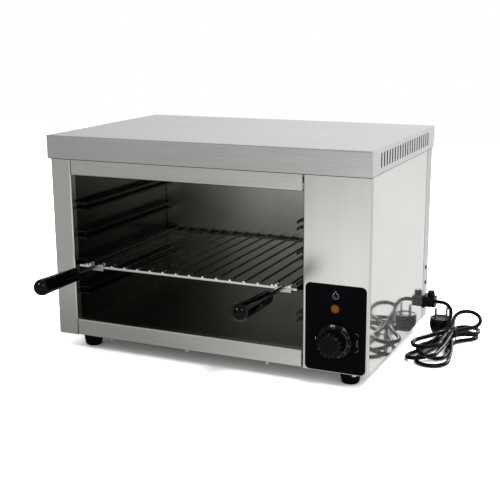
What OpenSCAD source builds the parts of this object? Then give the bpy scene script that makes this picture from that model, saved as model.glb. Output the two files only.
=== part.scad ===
// Countertop cheese melter: an open-fronted sheet-steel grill with a sliding wire grid.
// X runs left to right across the front, Y from front to back and Z up. The origin is on the
// surface that the feet stand on, at the middle of the object's width and of its reach from the
// tips of the grips to the back of the top cover. All sizes are in millimetres.

/* [Casing] */
// Width over the top cover
cover_w = 560; // [520:5:620]
// Depth over the top cover
cover_d = 365; // [350:5:420]
// Height of the top cover's rim
cover_h = 38; // [34:1:46]
// Outer bend radius of the sheets
bend_r = 2.5; // [1.5:0.25:3]
// Height of the casing between its lower edge and the top cover's rim
body_h = 305; // [295:5:345]
// Thickness of the outer sheets
sheet_t = 1.2; // [0.8:0.1:1.4]
// How far the top cover stands out past the front
front_overhang = 8; // [5:0.5:14]
// How far the top cover stands out past the back
rear_overhang = 7; // [5:0.5:12]
// Clearance between pieces that fit into each other
fit_gap = 0.3; // [0.2:0.05:0.4]
// Width of the open seams between the outer sheets
seam_w = 2; // [1:0.25:3]
// Depth of the narrow return at each outer front corner
corner_return = 3; // [2.5:0.5:5]
// Depth of the flanges bent in from the outer sheets
flange_d = 13; // [11:0.5:16]
// Depth of the rear panel's side strips
rear_strip_d = 31; // [29:1:38]

/* [Front] */
// Width of the left front post
post_w = 38; // [30:1:50]
// Width of the control fascia
fascia_w = 106.5; // [105:0.5:114]
// Height of the strip over the opening
header_h = 28; // [24:1:36]
// Height of the strip under the opening
rail_h = 28.5; // [27.5:0.5:36]
// How far the header and the bottom rail stand back from the post
front_recess = 0.8; // [0.4:0.1:1.2]

/* [Cavity] */
// Thickness of the cavity sheets
liner_t = 1; // [0.7:0.1:1.2]
// Space between the cavity's back wall and the outside of the rear panel
rear_space = 25; // [22:0.5:45]
// Height of the cavity floor over the casing's lower edge
floor_rise = 23.5; // [20:0.5:25]
// Drop of the reflector under the top cover's rim
reflector_drop = 5; // [3:0.5:8]
// Open joint at the two back corners of the cavity
corner_gap = 2.5; // [1:0.5:4]
// Thickness of the insulation over the reflector
insulation_t = 28; // [15:1:30]

/* [Runners] */
// Number of grid levels
level_count = 4; // [3:1:4]
// Height from one grid level to the next
level_pitch = 48.5; // [44:0.5:50]
// Drop of the highest level under the top cover's rim
first_level_drop = 87; // [80:1:90]
// How far the runners reach into the cavity
runner_d = 17; // [15.5:0.5:19]
// Clear height of the slot between the two runners of a level
slot_h = 6.2; // [5.8:0.1:7]
// Height of an upper runner's lip
upper_lip_h = 4.6; // [3:0.2:6]
// Height of a lower runner's lip
lower_lip_h = 4; // [3:0.2:6]
// Thickness of the runner strips
runner_t = 1; // [0.8:0.1:1.5]

/* [Heating] */
// Diameter of the heating tubes
element_tube_d = 8; // [6.5:0.5:8.5]
// Distance between neighbouring legs of an element
leg_pitch = 35; // [30:1:37]
// Drop of the element legs under the reflector
element_drop = 13; // [11:0.5:15]
// Distance from the cavity walls to the element bends
bend_margin = 30; // [20:1:40]
// Diameter of the threaded fittings on the element ends
fitting_d = 14; // [12:0.5:15]

/* [Grid] */
// Level that holds the grid, counted from the top
grid_level = 3; // [2:1:3]
// Diameter of the four outer bars
bar_d = 5; // [4.5:0.1:5.4]
// Diameter of the cross wires
wire_d = 3.5; // [2.5:0.1:4]
// Number of cross wires
wire_count = 16; // [14:1:17]
// Distance from the side bars to the nearest cross wires
wire_margin = 13.5; // [10:0.5:16]
// Distance from the cavity walls to the side bars
bar_gap = 11; // [9:0.5:11.5]
// How far the front bar stands behind the casing's front
bar_setback = 3; // [2.5:0.25:4]
// How far the cross wires reach past the front and rear bars
wire_end = 5; // [3:0.5:6]
// Distance from the rear bar to the cavity's back wall
grid_back_gap = 9; // [8.5:0.5:12]

/* [Handles] */
// Width of a handle bracket
bracket_w = 27; // [25:0.5:28]
// Distance from a bracket's middle to the wire that passes through its notch
bracket_offset = 6; // [5:0.25:6.5]
// Diameter of the handle rods
handle_rod_d = 6; // [5:0.25:6.5]
// Distance from the front bar to the start of a grip
rod_free_l = 61; // [40:1:75]
// Length of a grip
grip_l = 100; // [80:1:120]
// Diameter of a grip at its rounded tip
grip_d = 26; // [22:0.5:30]
// Diameter of a grip at its rod end
grip_neck_d = 22; // [18:0.5:24]
// Turn of both handles towards the left
handle_turn = 2.5; // [0:0.5:4]

/* [Controls] */
// Width of the black overlay
overlay_w = 97; // [90:1:98]
// Height of the black overlay
overlay_h = 138; // [130:1:150]
// Corner radius of the overlay
overlay_r = 8; // [4:0.5:12]
// Thickness of the overlay
overlay_t = 1; // [0.5:0.1:1.4]
// Height of the knob's middle over the overlay's lower edge
knob_rise = 50.5; // [45:0.5:55]
// Height of the lamp's middle over the knob's middle
lamp_rise = 50.5; // [46:0.5:56]
// Diameter of the knob's skirt
knob_d = 55; // [50:0.5:60]
// Height of the knob
knob_h = 26; // [22:0.5:30]
// Diameter of the knob's grip at its foot
knob_grip_d = 40; // [36:0.5:44]
// Height of the knob's skirt
skirt_h = 5; // [4:0.25:6]
// Diameter of the knob's cap
knob_cap_d = 24; // [18:0.5:26]
// Diameter of the thermostat's shaft
shaft_d = 6; // [5:0.25:6.5]
// Diameter of the lamp's lens
lens_d = 15; // [14.5:0.5:18]
// Diameter of the lamp's threaded body
lamp_body_d = 12; // [10:0.5:13]

/* [Feet] */
// Height of the feet under the casing
foot_h = 28; // [22:1:36]
// Diameter of a foot at its top
foot_top_d = 37; // [32:0.5:42]
// Diameter of a foot at the floor
foot_floor_d = 29; // [26:0.5:32]
// Distance from the cover's sides to the middle of the feet
foot_inset_x = 43; // [38:1:60]
// Distance from the cover's front and back to the middle of the feet
foot_inset_y = 50; // [48:1:60]

/* [Fasteners] */
// Shank diameter of the sheet screws
screw_d = 3.5; // [3:0.1:4]
// Height of the hexagon heads under the base
hex_head_h = 4; // [3:0.25:4.5]
// Shank diameter of the foot screws
foot_screw_d = 5; // [4:0.5:6]
// Spacing of the hexagon-head screws along the base
base_screw_pitch = 143.5; // [130:0.5:144]

/* [Vents] */
// Number of slots in the top cover's right rim
vent_count = 20; // [12:1:21]
// Distance from one slot to the next
vent_pitch = 14.35; // [12:0.05:15]
// Width of a slot
vent_w = 5.5; // [3:0.25:6.5]
// Height of a slot
vent_h = 23; // [16:0.5:25]
// Number of slots in the rear panel
rear_vent_count = 8; // [4:1:8]

/* [Lead] */
// Diameter of the mains lead
cord_d = 7; // [7:0.5:8]
// Height of the cable gland over the casing's lower edge
gland_rise = 30; // [28:0.5:32]
// How far the gland stands out from the casing
gland_reach = 20.5; // [20.5:0.5:21.5]
// Diameter of the plug's body
plug_d = 38; // [36:0.5:39]
// Height of the plug's body
plug_h = 31.5; // [30:0.5:34]
// Distance between the plug's pins
pin_pitch = 19; // [18.5:0.5:19]
// Diameter of the plug's pins
pin_d = 4.8; // [4:0.1:4.8]
// Length of the plug's pins
pin_l = 19; // [17:0.5:19]

/* [Hidden] */
$fn = 48;
overcut = 1;              // how far a cutting shape passes the faces that it opens
slide_gap = 0.05;         // radial clearance of a shaft or rod in its bore
half_w = cover_w / 2;
body_hw = half_w - sheet_t - fit_gap;
body_z0 = foot_h;
rim_z = body_z0 + body_h;
top_z = rim_z + cover_h;
tuck_z = rim_z + 6;                              // side sheets end here, inside the cover
front_top_z = top_z - sheet_t - fit_gap;         // front sheets carry the cover from inside

function snapped(v, step) = step * round(v / step);

// Reach of the handles, which sets where the origin lies between front and back
grip_r = grip_d / 2;
tip_axis_l = rod_free_l + grip_l - grip_r;
tip_reach = snapped(tip_axis_l * cos(handle_turn) + grip_r - front_overhang - bar_setback, 0.2);
cover_y0 = (tip_reach - cover_d) / 2;
cover_y1 = cover_y0 + cover_d;
cover_mid_y = (cover_y0 + cover_y1) / 2;
face_y = cover_y0 + front_overhang;
back_y = cover_y1 - rear_overhang;

// Casing
return_y = face_y + flange_d;                    // rear edge of the front sheets' inner returns
side_y0 = face_y + corner_return + seam_w / 2;
strip_y0 = back_y - rear_strip_d;
side_y1 = strip_y0 - seam_w;
inner_y0 = face_y + front_recess + sheet_t + fit_gap;
base_y0 = face_y + front_recess + bend_r;        // the base and the liners stay clear of the bends
liner_y0 = face_y + bend_r;
corner_top_z = top_z - bend_r;
inner_bend_r = max(bend_r - sheet_t, 0.1);
base_z = body_z0 + sheet_t;
base_top_z = base_z + sheet_t;
open_x0 = -body_hw + post_w;
open_x1 = body_hw - fascia_w;
header_x1 = open_x1 - seam_w;
header_z0 = rim_z - header_h;
rail_top_z = body_z0 + rail_h;

// Cavity
wall_x0 = open_x0 - sheet_t;
wall_x1 = open_x1 + sheet_t;
cavity_y1 = back_y - rear_space;
cavity_mid_y = snapped((inner_y0 + cavity_y1) / 2, 0.5);
floor_z = body_z0 + floor_rise;
reflector_z = rim_z - reflector_drop;
level_z = [for (k = [0:level_count - 1]) rim_z - first_level_drop - k * level_pitch];
runner_y0 = return_y + 0.5;
runner_y1 = cavity_y1 - 8;

// Heating
element_z = reflector_z - element_drop;
element_mids = [cavity_mid_y - 2 * leg_pitch, cavity_mid_y + 2 * leg_pitch];
bend_x0 = wall_x0 + bend_margin;
bend_x1 = wall_x1 - bend_margin;
hanger_xs = [bend_x0 + leg_pitch, bend_x1 - leg_pitch];
hanger_t = 1.5;
element_run = 24;                                // the elements' legs reach this far past the cavity
element_end_x = wall_x1 + element_run;
fitting_y = [for (m = element_mids, s = [-1.5, 1.5]) m + s * leg_pitch];
collar_d = fitting_d + 4;
collar_t = 3;
bead_d = 9;
bead_l = 5;
terminal_d = 4;
terminal_l = 12;

// Grid
bar_x0 = wall_x0 + bar_gap + bar_d / 2;
bar_x1 = wall_x1 - bar_gap - bar_d / 2;
bar_y0 = face_y + bar_setback;
bar_y1 = cavity_y1 - grid_back_gap;
bar_z = level_z[grid_level - 1] + fit_gap + bar_d / 2;
weld_sink = 0.4;
wire_z = bar_z + bar_d / 2 + wire_d / 2 - weld_sink;
wire_x0 = bar_x0 + wire_margin;
wire_pitch = (bar_x1 - bar_x0 - 2 * wire_margin) / (wire_count - 1);

// Handles: each bracket's notch lets one cross wire through
handle_wires = [1, wire_count - 1];
handle_xs = [for (k = handle_wires) wire_x0 + k * wire_pitch - bracket_offset];
bracket_t = 2;
ear_w = 4.5;
bracket_y1 = bar_y0 - bar_d / 2 - fit_gap;       // rear face of the bracket's front plate
bracket_y0 = bracket_y1 - bracket_t;
clamp_y0 = bar_y0 + bar_d / 2 + fit_gap;
bracket_z0 = bar_z - bar_d / 2 - fit_gap - bracket_t;
notch_z = wire_z - wire_d / 2 - fit_gap;
clamp_screw_d = 2.5;
clamp_screw_z = bar_z + bar_d / 2 + clamp_screw_d / 2 + 0.8;
ear_z = clamp_screw_z + clamp_screw_d / 2 + 1.2;
rod_rise = 2.4;                                  // height of the handle's axis over the bar's
rod_z = bar_z + rod_rise;
socket_l = 6;
socket_d = handle_rod_d + 2;
grip_start_l = rod_free_l - (bar_y0 - bracket_y0);
grip_bore_l = grip_l * 0.6;
wire_tip_y = bar_y0 - wire_end - fit_gap;        // the cross wires end behind this plane

// Controls
overlay_x = (open_x1 + body_hw) / 2;
overlay_z0 = body_z0 + 1;
overlay_y0 = face_y - overlay_t;
knob_z = overlay_z0 + knob_rise;
lamp_z = knob_z + lamp_rise;
knob_gap = 1.5;
knob_y1 = overlay_y0 - knob_gap;
knob_y0 = knob_y1 - knob_h;
flute_count = 16;
knob_cap_t = 1.2;
shaft_cover = 8;                                 // the shaft ends this far behind the knob's front
shaft_flat = shaft_d * 0.25;                     // distance of the shaft's flat from its axis
bush_d = 10;
thermostat_w = 38;
thermostat_h = 48;
thermostat_l = 30;
thermostat_y0 = face_y + sheet_t;
lens_rim_h = 1.5;
lens_dome_r = lens_d;
lamp_tab_x = 3;
lamp_body_l = 24;
lamp_tab_l = 8;
lamp_tab_y0 = face_y + lamp_body_l;
lamp_tab_y1 = lamp_tab_y0 + lamp_tab_l;
thermostat_screw_in = 14;
shaft_inner_l = 14;
bulb_d = 6;
bulb_l = 80;
bulb_x = wall_x1 - 9;
bulb_shift = 40;                                 // the bulb starts this far behind the cavity's middle
bulb_drop = 28;
bulb_y0 = cavity_mid_y + bulb_shift;
bulb_z = element_z - bulb_drop;
capillary_d = 2;
capillary_z = bulb_z + 8;

// Feet and fasteners
foot_xs = [-half_w + foot_inset_x, half_w - foot_inset_x];
foot_ys = [cover_y0 + foot_inset_y, cover_y1 - foot_inset_y];
foot_recess_d = 13;
foot_recess_h = foot_h * 0.55;
foot_bore_d = foot_screw_d + 0.4;
foot_nut_t = 4;
screw_hole_d = screw_d + 0.3;
low_head_h = sheet_t + fit_gap / 2;              // heads beside the top cover stay within its width
hex_across = screw_d * 2;
hex_washer_d = hex_across + 1;
base_screw_inset = 24.5;                         // from the casing's right side to the last screw
base_screw_xs = [for (k = [3:-1:0]) body_hw - base_screw_inset - k * base_screw_pitch];
front_screw_y = face_y + front_recess + 6;
rear_screw_y = back_y - 7;
side_screw_x = body_hw - 7;
side_screw_shift = 48;                           // the side screws stand behind the panels' middle
side_screw_y = (side_y0 + side_y1) / 2 + side_screw_shift;
cover_screw_xs = [-half_w * 0.6, half_w * 0.6];
cover_screw_y = (back_y + cover_y1 - sheet_t) / 2;
cover_screw_d = (rear_overhang - sheet_t) / 2;   // heads and nuts fit behind the rear panel
nut_t = 3;

// Gland, terminals and lead
gland_y = (strip_y0 + back_y) / 2;
gland_z = body_z0 + gland_rise;
gland_x1 = body_hw + gland_reach;
gland_flange_t = 2.5;
gland_neck_d = 15;
gland_thread_l = 9;
gland_flange_w = 26;
gland_flange_h = 22.5;
gland_block_w = 20;
gland_block_h = 19;
clamp_d = 13;
clamp_foot_z = gland_z + cord_d / 2 + 2;
clamp_x = gland_x1 - clamp_d / 2 - 2;
terminal_block_l = 22;
terminal_xs = [body_hw - sheet_t - terminal_block_l, body_hw - sheet_t];
terminal_screw_y = gland_y;
terminal_rise = 78;
terminal_mid_z = body_z0 + terminal_rise;
terminal_block_h = 46;
terminal_block_w = 22;
terminal_screw_zs = [terminal_mid_z - 14, terminal_mid_z + 14];
cord_sides = 10;
lead_d = 3;
wire_sides = 8;
route_step = 10;                                 // bends of the thin tube and of the inner leads
route_drop = 14;
route_bend = 30;
route_bow = 40;
route_reach = 60;
route_rise = 90;
sweep_side = [0.31, 0.17, 0.93];                 // a direction that no swept route runs along

// Route of the free stretch of the lead, from the gland down to the hank's waist
cord_route = [
    [gland_x1, gland_y, gland_z], [gland_x1 + 8, gland_y, gland_z], [315, 234.5, 57.4],
    [322, 232.2, 54.6], [327.8, 228, 49], [329.8, 223, 42.1], [330, 219, 37],
    [329.5, 213, 31], [328.5, 203, 26],
];
waist = [335, 186];                              // middle of the tied waist, seen from above
waist_w = 26;
waist_z0 = 2;
hank_h = 26;
hank_end_r = 17;
front_lobe = [[303, 108], [304, 68], [330, 60], [343, 72], [343, 115], [336, 150]];
rear_end_r = 17;
rear_lobe = [[355, 250], [364, 246], [363, 224], [340, 206]];
crest_h = 47;                                    // the loops behind the waist stand up at their ends
plug_mid = [311, 229];                           // middle of the plug's body, seen from above
plug_turn = 18;                                  // turn of the line through the pins
plug_tail_l = 34;
plug_tail_z = 11;
clip_w = 5;
clip_t = 1;

// ---------- Shared shapes ----------

// A block between two opposite corners
module slab(x0, x1, y0, y1, z0, z1) {
    translate([x0, y0, z0]) cube([x1 - x0, y1 - y0, z1 - z0]);
}

module rod_x(d, x0, x1, y, z) {
    translate([x0, y, z]) rotate([0, 90, 0]) cylinder(d = d, h = x1 - x0);
}

module rod_y(d, x, y0, y1, z) {
    translate([x, y1, z]) rotate([90, 0, 0]) cylinder(d = d, h = y1 - y0);
}

module rod_z(d, x, y, z0, z1) {
    translate([x, y, z0]) cylinder(d = d, h = z1 - z0);
}

module rounded_rect(w, h, r) {
    square([w, h - 2 * r], center = true);
    square([w - 2 * r, h], center = true);
    for (x = [-1, 1], y = [-1, 1])
        translate([x * (w / 2 - r), y * (h / 2 - r)]) circle(r);
}

// A flat outline stood up across the front, thickness running forwards from y1
module front_plate(y1, t) {
    translate([0, y1, 0]) rotate([90, 0, 0]) linear_extrude(t) children();
}

// A slot with round ends, standing upright
module slot_outline(w, h) {
    square([w, h - w], center = true);
    for (s = [-1, 1]) translate([0, s * (h - w) / 2]) circle(d = w);
}

// A square-ended outline with both front corners rounded, its front edge on the X axis
module bent_outline(w, d, r) {
    translate([r, 0]) square([w - 2 * r, d]);
    translate([0, r]) square([w, d - r]);
    for (x = [r, w - r]) translate([x, r]) circle(r);
}

// Section of a sheet bent back on its left and right, open to the rear
module channel_outline(w, left_d, right_d) {
    full_d = max(left_d, right_d);
    difference() {
        bent_outline(w, full_d, bend_r);
        translate([sheet_t, sheet_t])
            bent_outline(w - 2 * sheet_t, full_d, inner_bend_r);
        translate([-overcut, left_d]) square([w / 2, full_d]);
        translate([w / 2, right_d]) square([w, full_d]);
    }
}

// Section of a sheet bent back on one edge: upright leg on the Y axis, foot along X
module angle_outline(leg, foot) {
    difference() {
        union() {
            translate([0, bend_r]) square([sheet_t, leg - bend_r]);
            translate([bend_r, 0]) square([foot - bend_r, sheet_t]);
            intersection() {
                translate([bend_r, bend_r]) circle(bend_r);
                square([bend_r, bend_r]);
            }
        }
        translate([bend_r, bend_r]) circle(inner_bend_r);
    }
}

// Pan-head screw along -Z, its head on the XY plane
module pan_screw(d, l, head_h) {
    difference() {
        union() {
            cylinder(d = 2 * d, h = head_h * 0.5);
            translate([0, 0, head_h * 0.5]) cylinder(d1 = 2 * d, d2 = 1.3 * d, h = head_h * 0.5);
            translate([0, 0, -l]) cylinder(d = d, h = l);
        }
        translate([0, 0, head_h]) cube([d * 1.1, d * 0.22, head_h], center = true);
        translate([0, 0, head_h]) cube([d * 0.22, d * 1.1, head_h], center = true);
    }
}

// Hexagon-head screw with a washer face, put in from below at the height z
module hex_screw(x, y, z, l) {
    translate([x, y, z]) {
        cylinder(d = screw_d, h = l);
        translate([0, 0, -1]) cylinder(d = hex_washer_d, h = 1);
        translate([0, 0, -hex_head_h]) cylinder(d = hex_across * 1.1, h = hex_head_h - 1, $fn = 6);
    }
}

module hex_nut(d, t) {
    difference() {
        cylinder(d = 1.9 * d, h = t, $fn = 6);
        translate([0, 0, -overcut]) cylinder(d = d + 2 * slide_gap, h = t + 2 * overcut);
    }
}

// ---------- A tube swept along a list of points ----------

function unit(v) = v / norm(v);
function heading(p, i) = unit(p[min(i + 1, len(p) - 1)] - p[max(i - 1, 0)]);
function ring(p, i, r, sides) =
    let (t = heading(p, i), u = unit(cross(t, sweep_side)), v = cross(t, u))
    [for (k = [0:sides - 1]) p[i] + r * (cos(360 * k / sides) * u + sin(360 * k / sides) * v)];

module swept_tube(p, d, sides) {
    last = (len(p) - 1) * sides;
    polyhedron(
        points = [for (i = [0:len(p) - 1]) each ring(p, i, d / 2, sides)],
        faces = [
            [for (k = [0:sides - 1]) k],
            [for (k = [sides - 1:-1:0]) last + k],
            for (i = [0:len(p) - 2], k = [0:sides - 1])
                let (a = i * sides + k, b = i * sides + (k + 1) % sides)
                each [[a, a + sides, b + sides], [a, b + sides, b]]
        ]);
}

// ---------- Casing ----------

// Section of a block whose two upper edges are bent round
module arch_outline(w, h, r) {
    translate([-w / 2, 0]) square([w, h - r]);
    translate([-w / 2 + r, 0]) square([w - 2 * r, h]);
    for (s = [-1, 1]) translate([s * (w / 2 - r), h - r]) circle(r);
}

module cover_block(w, d, h, r) {
    intersection() {
        translate([0, d / 2, 0]) rotate([90, 0, 0]) linear_extrude(d) arch_outline(w, h, r);
        translate([-w / 2, 0, 0]) rotate([90, 0, 90]) linear_extrude(w) arch_outline(d, h, r);
        linear_extrude(h) rounded_rect(w, d, r);
    }
}

// Edges of the rim turned in at the front and the back until they meet the casing
module cover_lips() {
    slab(-half_w, half_w, cover_y0, face_y - fit_gap, rim_z - overcut, rim_z + sheet_t);
    slab(-half_w, half_w, back_y + fit_gap, cover_y1, rim_z - overcut, rim_z + sheet_t);
}

// Shallow grooves where the rim's corners are closed
module cover_seams() {
    groove_w = 0.6;
    groove_d = 0.5;
    for (s = [-1, 1], y = [cover_y0 + bend_r, cover_y1 - bend_r - groove_w])
        translate([s * half_w - groove_d, y, rim_z - overcut])
            cube([2 * groove_d, groove_w, cover_h - bend_r + overcut]);
}

module cover_vents() {
    for (k = [0:vent_count - 1])
        translate([half_w - 3 * sheet_t, cover_mid_y + (k - (vent_count - 1) / 2) * vent_pitch,
            rim_z + cover_h / 2 + 0.5])
            rotate([90, 0, 90]) linear_extrude(6 * sheet_t) slot_outline(vent_w, vent_h);
}

module top_cover() {
    color("silver") difference() {
        translate([0, cover_mid_y, rim_z]) cover_block(cover_w, cover_d, cover_h, bend_r);
        difference() {
            translate([0, cover_mid_y, rim_z - overcut])
                cover_block(cover_w - 2 * sheet_t, cover_d - 2 * sheet_t,
                    cover_h - sheet_t + overcut, inner_bend_r);
            cover_lips();
        }
        cover_vents();
        cover_seams();
        for (x = cover_screw_xs)
            rod_z(cover_screw_d + fit_gap, x, cover_screw_y, rim_z - overcut, rim_z + sheet_t + overcut);
    }
}

// The right-hand side panel, which the left one mirrors
module side_panel() {
    difference() {
        union() {
            slab(body_hw - sheet_t, body_hw, side_y0, side_y1, body_z0, tuck_z);
            slab(body_hw - flange_d, body_hw, side_y0, side_y1, body_z0, base_z);
            slab(body_hw - flange_d, body_hw, side_y0, side_y0 + sheet_t, base_top_z, tuck_z);
        }
        rod_z(screw_hole_d, side_screw_x, side_screw_y, body_z0 - overcut, base_z + overcut);
    }
}

module left_side_panel() {
    color("silver") mirror([1, 0, 0]) side_panel();
}

module right_side_panel() {
    color("silver") side_panel();
}

module rear_panel() {
    color("silver") difference() {
        union() {
            slab(-body_hw, body_hw, back_y - sheet_t, back_y, body_z0, rim_z);
            for (s = [0, 1]) mirror([s, 0, 0])
                slab(body_hw - sheet_t, body_hw, strip_y0, back_y, body_z0, tuck_z);
            slab(-body_hw, body_hw, back_y - flange_d, back_y, body_z0, base_z);
            slab(-body_hw, body_hw, back_y - sheet_t, cover_y1 - sheet_t, rim_z - sheet_t, rim_z);
        }
        for (x = base_screw_xs)
            rod_z(screw_hole_d, x, rear_screw_y, body_z0 - overcut, base_z + overcut);
        for (x = cover_screw_xs)
            rod_z(cover_screw_d + fit_gap, x, cover_screw_y, rim_z - sheet_t - overcut,
                rim_z + overcut);
        rod_x(gland_neck_d + 2 * fit_gap, body_hw - 2 * sheet_t, body_hw + overcut, gland_y, gland_z);
        for (z = terminal_screw_zs)
            rod_x(screw_hole_d, body_hw - 2 * sheet_t, body_hw + overcut, terminal_screw_y, z);
        for (k = [0:rear_vent_count - 1])
            translate([overlay_x + (k - (rear_vent_count - 1) / 2) * 11, 0, body_z0 + body_h * 0.6])
                front_plate(back_y + overcut, 4 * sheet_t) slot_outline(vent_w, 2 * vent_h);
    }
}

module base_plate() {
    color("gray") difference() {
        slab(-body_hw + sheet_t + fit_gap, body_hw - sheet_t - fit_gap, base_y0,
            back_y - sheet_t - fit_gap, base_z, base_top_z);
        for (x = foot_xs, y = foot_ys)
            rod_z(foot_bore_d, x, y, base_z - overcut, base_top_z + overcut);
        for (x = base_screw_xs, y = [front_screw_y, rear_screw_y])
            rod_z(screw_hole_d, x, y, base_z - overcut, base_top_z + overcut);
        for (x = [-side_screw_x, side_screw_x])
            rod_z(screw_hole_d, x, side_screw_y, base_z - overcut, base_top_z + overcut);
    }
}

// ---------- Front ----------

// A front sheet of the casing, standing from the lower edge into the top cover
module front_channel(x0, w, left_d, right_d) {
    difference() {
        translate([x0, face_y, body_z0])
            linear_extrude(corner_top_z - body_z0) channel_outline(w, left_d, right_d);
        slab(x0 - overcut, x0 + w + overcut, face_y + sheet_t + bend_r, return_y + overcut,
            body_z0 - overcut, base_top_z);
        slab(x0 + sheet_t, x0 + w - sheet_t, face_y + sheet_t, face_y + sheet_t + bend_r,
            body_z0 - overcut, base_top_z);
    }
}

module front_post() {
    color("silver") {
        difference() {
            front_channel(-body_hw, post_w, corner_return, flange_d);
            slab(open_x0 - sheet_t - overcut, open_x0 + overcut, inner_y0 - fit_gap,
                return_y + overcut, body_z0 - overcut, base_top_z);
        }
        slab(-body_hw + flange_d + fit_gap, open_x0 - bend_r, face_y + sheet_t / 2, return_y,
            body_z0, base_z);
    }
}

module control_fascia() {
    color("silver") difference() {
        union() {
            difference() {
                front_channel(open_x1, fascia_w, flange_d, corner_return);
                slab(open_x1 - overcut, open_x1 + sheet_t + overcut, inner_y0 - fit_gap,
                    return_y + overcut, body_z0 - overcut, base_top_z);
            }
            slab(open_x1 + bend_r, body_hw - flange_d - fit_gap, face_y + sheet_t / 2, return_y,
                body_z0, base_z);
        }
        rod_y(bush_d + fit_gap, overlay_x, face_y - overcut, face_y + 2 * sheet_t, knob_z);
        rod_y(lamp_body_d + fit_gap, overlay_x, face_y - overcut, face_y + 2 * sheet_t, lamp_z);
        for (s = [-1, 1])
            rod_y(screw_hole_d, overlay_x + s * thermostat_screw_in, face_y - overcut,
                face_y + 2 * sheet_t, knob_z);
        rod_z(screw_hole_d, base_screw_xs[3], front_screw_y, body_z0 - overcut, base_z + overcut);
    }
}

module front_header() {
    color("silver")
        translate([open_x0, face_y + front_recess, header_z0]) rotate([90, 0, 90])
            linear_extrude(header_x1 - open_x0)
                angle_outline(front_top_z - header_z0, flange_d - front_recess);
}

module front_rail() {
    color("silver") difference() {
        union() {
            translate([open_x0, face_y + front_recess, body_z0]) rotate([90, 0, 90])
                linear_extrude(header_x1 - open_x0)
                    angle_outline(rail_h - bend_r, flange_d - front_recess);
            translate([open_x0, face_y + front_recess, rail_top_z]) rotate([90, 0, 90])
                linear_extrude(header_x1 - open_x0) mirror([0, 1])
                    angle_outline(rail_h / 2, flange_d - front_recess);
        }
        for (k = [0:2])
            rod_z(screw_hole_d, base_screw_xs[k], front_screw_y, body_z0 - overcut,
                base_z + overcut);
    }
}

module control_overlay() {
    color([0.05, 0.05, 0.07]) difference() {
        translate([overlay_x, 0, overlay_z0 + overlay_h / 2])
            front_plate(face_y, overlay_t) rounded_rect(overlay_w, overlay_h, overlay_r);
        rod_y(knob_grip_d, overlay_x, overlay_y0 - overcut, face_y + overcut, knob_z);
        rod_y(lamp_body_d + fit_gap, overlay_x, overlay_y0 - overcut, face_y + overcut, lamp_z);
    }
}

// ---------- Cavity ----------

// A level sheet between the cavity walls, narrowed at the front by the front sheets' returns
module level_sheet(z, front_y) {
    slab(open_x0, open_x1, front_y, return_y + fit_gap, z, z + liner_t);
    slab(wall_x0, wall_x1, return_y + fit_gap, cavity_y1, z, z + liner_t);
}

module cavity_left_wall() {
    color("dimgray") slab(wall_x0 - liner_t, wall_x0, liner_y0, cavity_y1 - corner_gap,
        floor_z - liner_t, reflector_z + liner_t);
}

module cavity_right_wall() {
    color("dimgray") difference() {
        slab(wall_x1, wall_x1 + liner_t, liner_y0, cavity_y1 - corner_gap, floor_z - liner_t,
            reflector_z + liner_t);
        for (y = fitting_y)
            rod_x(fitting_d + fit_gap, wall_x1 - overcut, wall_x1 + liner_t + overcut, y, element_z);
        rod_x(capillary_d + fit_gap, wall_x1 - overcut, wall_x1 + liner_t + overcut, bulb_y0 - 20,
            capillary_z);
    }
}

module cavity_back_wall() {
    color("dimgray") slab(wall_x0 - liner_t, wall_x1 + liner_t, cavity_y1, cavity_y1 + liner_t,
        base_top_z, reflector_z + liner_t);
}

module cavity_floor() {
    color("dimgray") level_sheet(floor_z - liner_t, inner_y0);
}

module reflector() {
    color("gainsboro") level_sheet(reflector_z, inner_y0);
}

module top_insulation() {
    color("beige") slab(wall_x0 + fit_gap, wall_x1 - fit_gap, return_y + fit_gap, cavity_y1,
        reflector_z + liner_t, reflector_z + liner_t + insulation_t);
}

// Folded strips on the left wall: the upper ones hang over the grid's bar, the lower carry it
module upper_runners() {
    for (z = level_z) {
        slab(wall_x0, wall_x0 + runner_d, runner_y0, runner_y1, z + slot_h + upper_lip_h - runner_t,
            z + slot_h + upper_lip_h);
        slab(wall_x0 + runner_d - runner_t, wall_x0 + runner_d, runner_y0, runner_y1, z + slot_h,
            z + slot_h + upper_lip_h);
    }
}

module lower_runners() {
    for (z = level_z) {
        slab(wall_x0, wall_x0 + runner_d, runner_y0, runner_y1, z - runner_t, z);
        slab(wall_x0 + runner_d - runner_t, wall_x0 + runner_d, runner_y0, runner_y1,
            z - lower_lip_h, z);
    }
}

// The right wall's runners mirror the left wall's about the cavity's middle
module to_right_wall() {
    translate([wall_x0 + wall_x1, 0, 0]) mirror([1, 0, 0]) children();
}

module upper_runners_left() { color("dimgray") upper_runners(); }
module lower_runners_left() { color("dimgray") lower_runners(); }
module upper_runners_right() { color("dimgray") to_right_wall() upper_runners(); }
module lower_runners_right() { color("dimgray") to_right_wall() lower_runners(); }

// ---------- Heating ----------

// Half a turn of tube joining two legs, bulging towards the side given
module tube_bend(x, y, side) {
    translate([x, y, element_z]) rotate([0, 0, side > 0 ? -90 : 90])
        rotate_extrude(angle = 180) translate([leg_pitch / 2, 0]) circle(d = element_tube_d);
}

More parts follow.
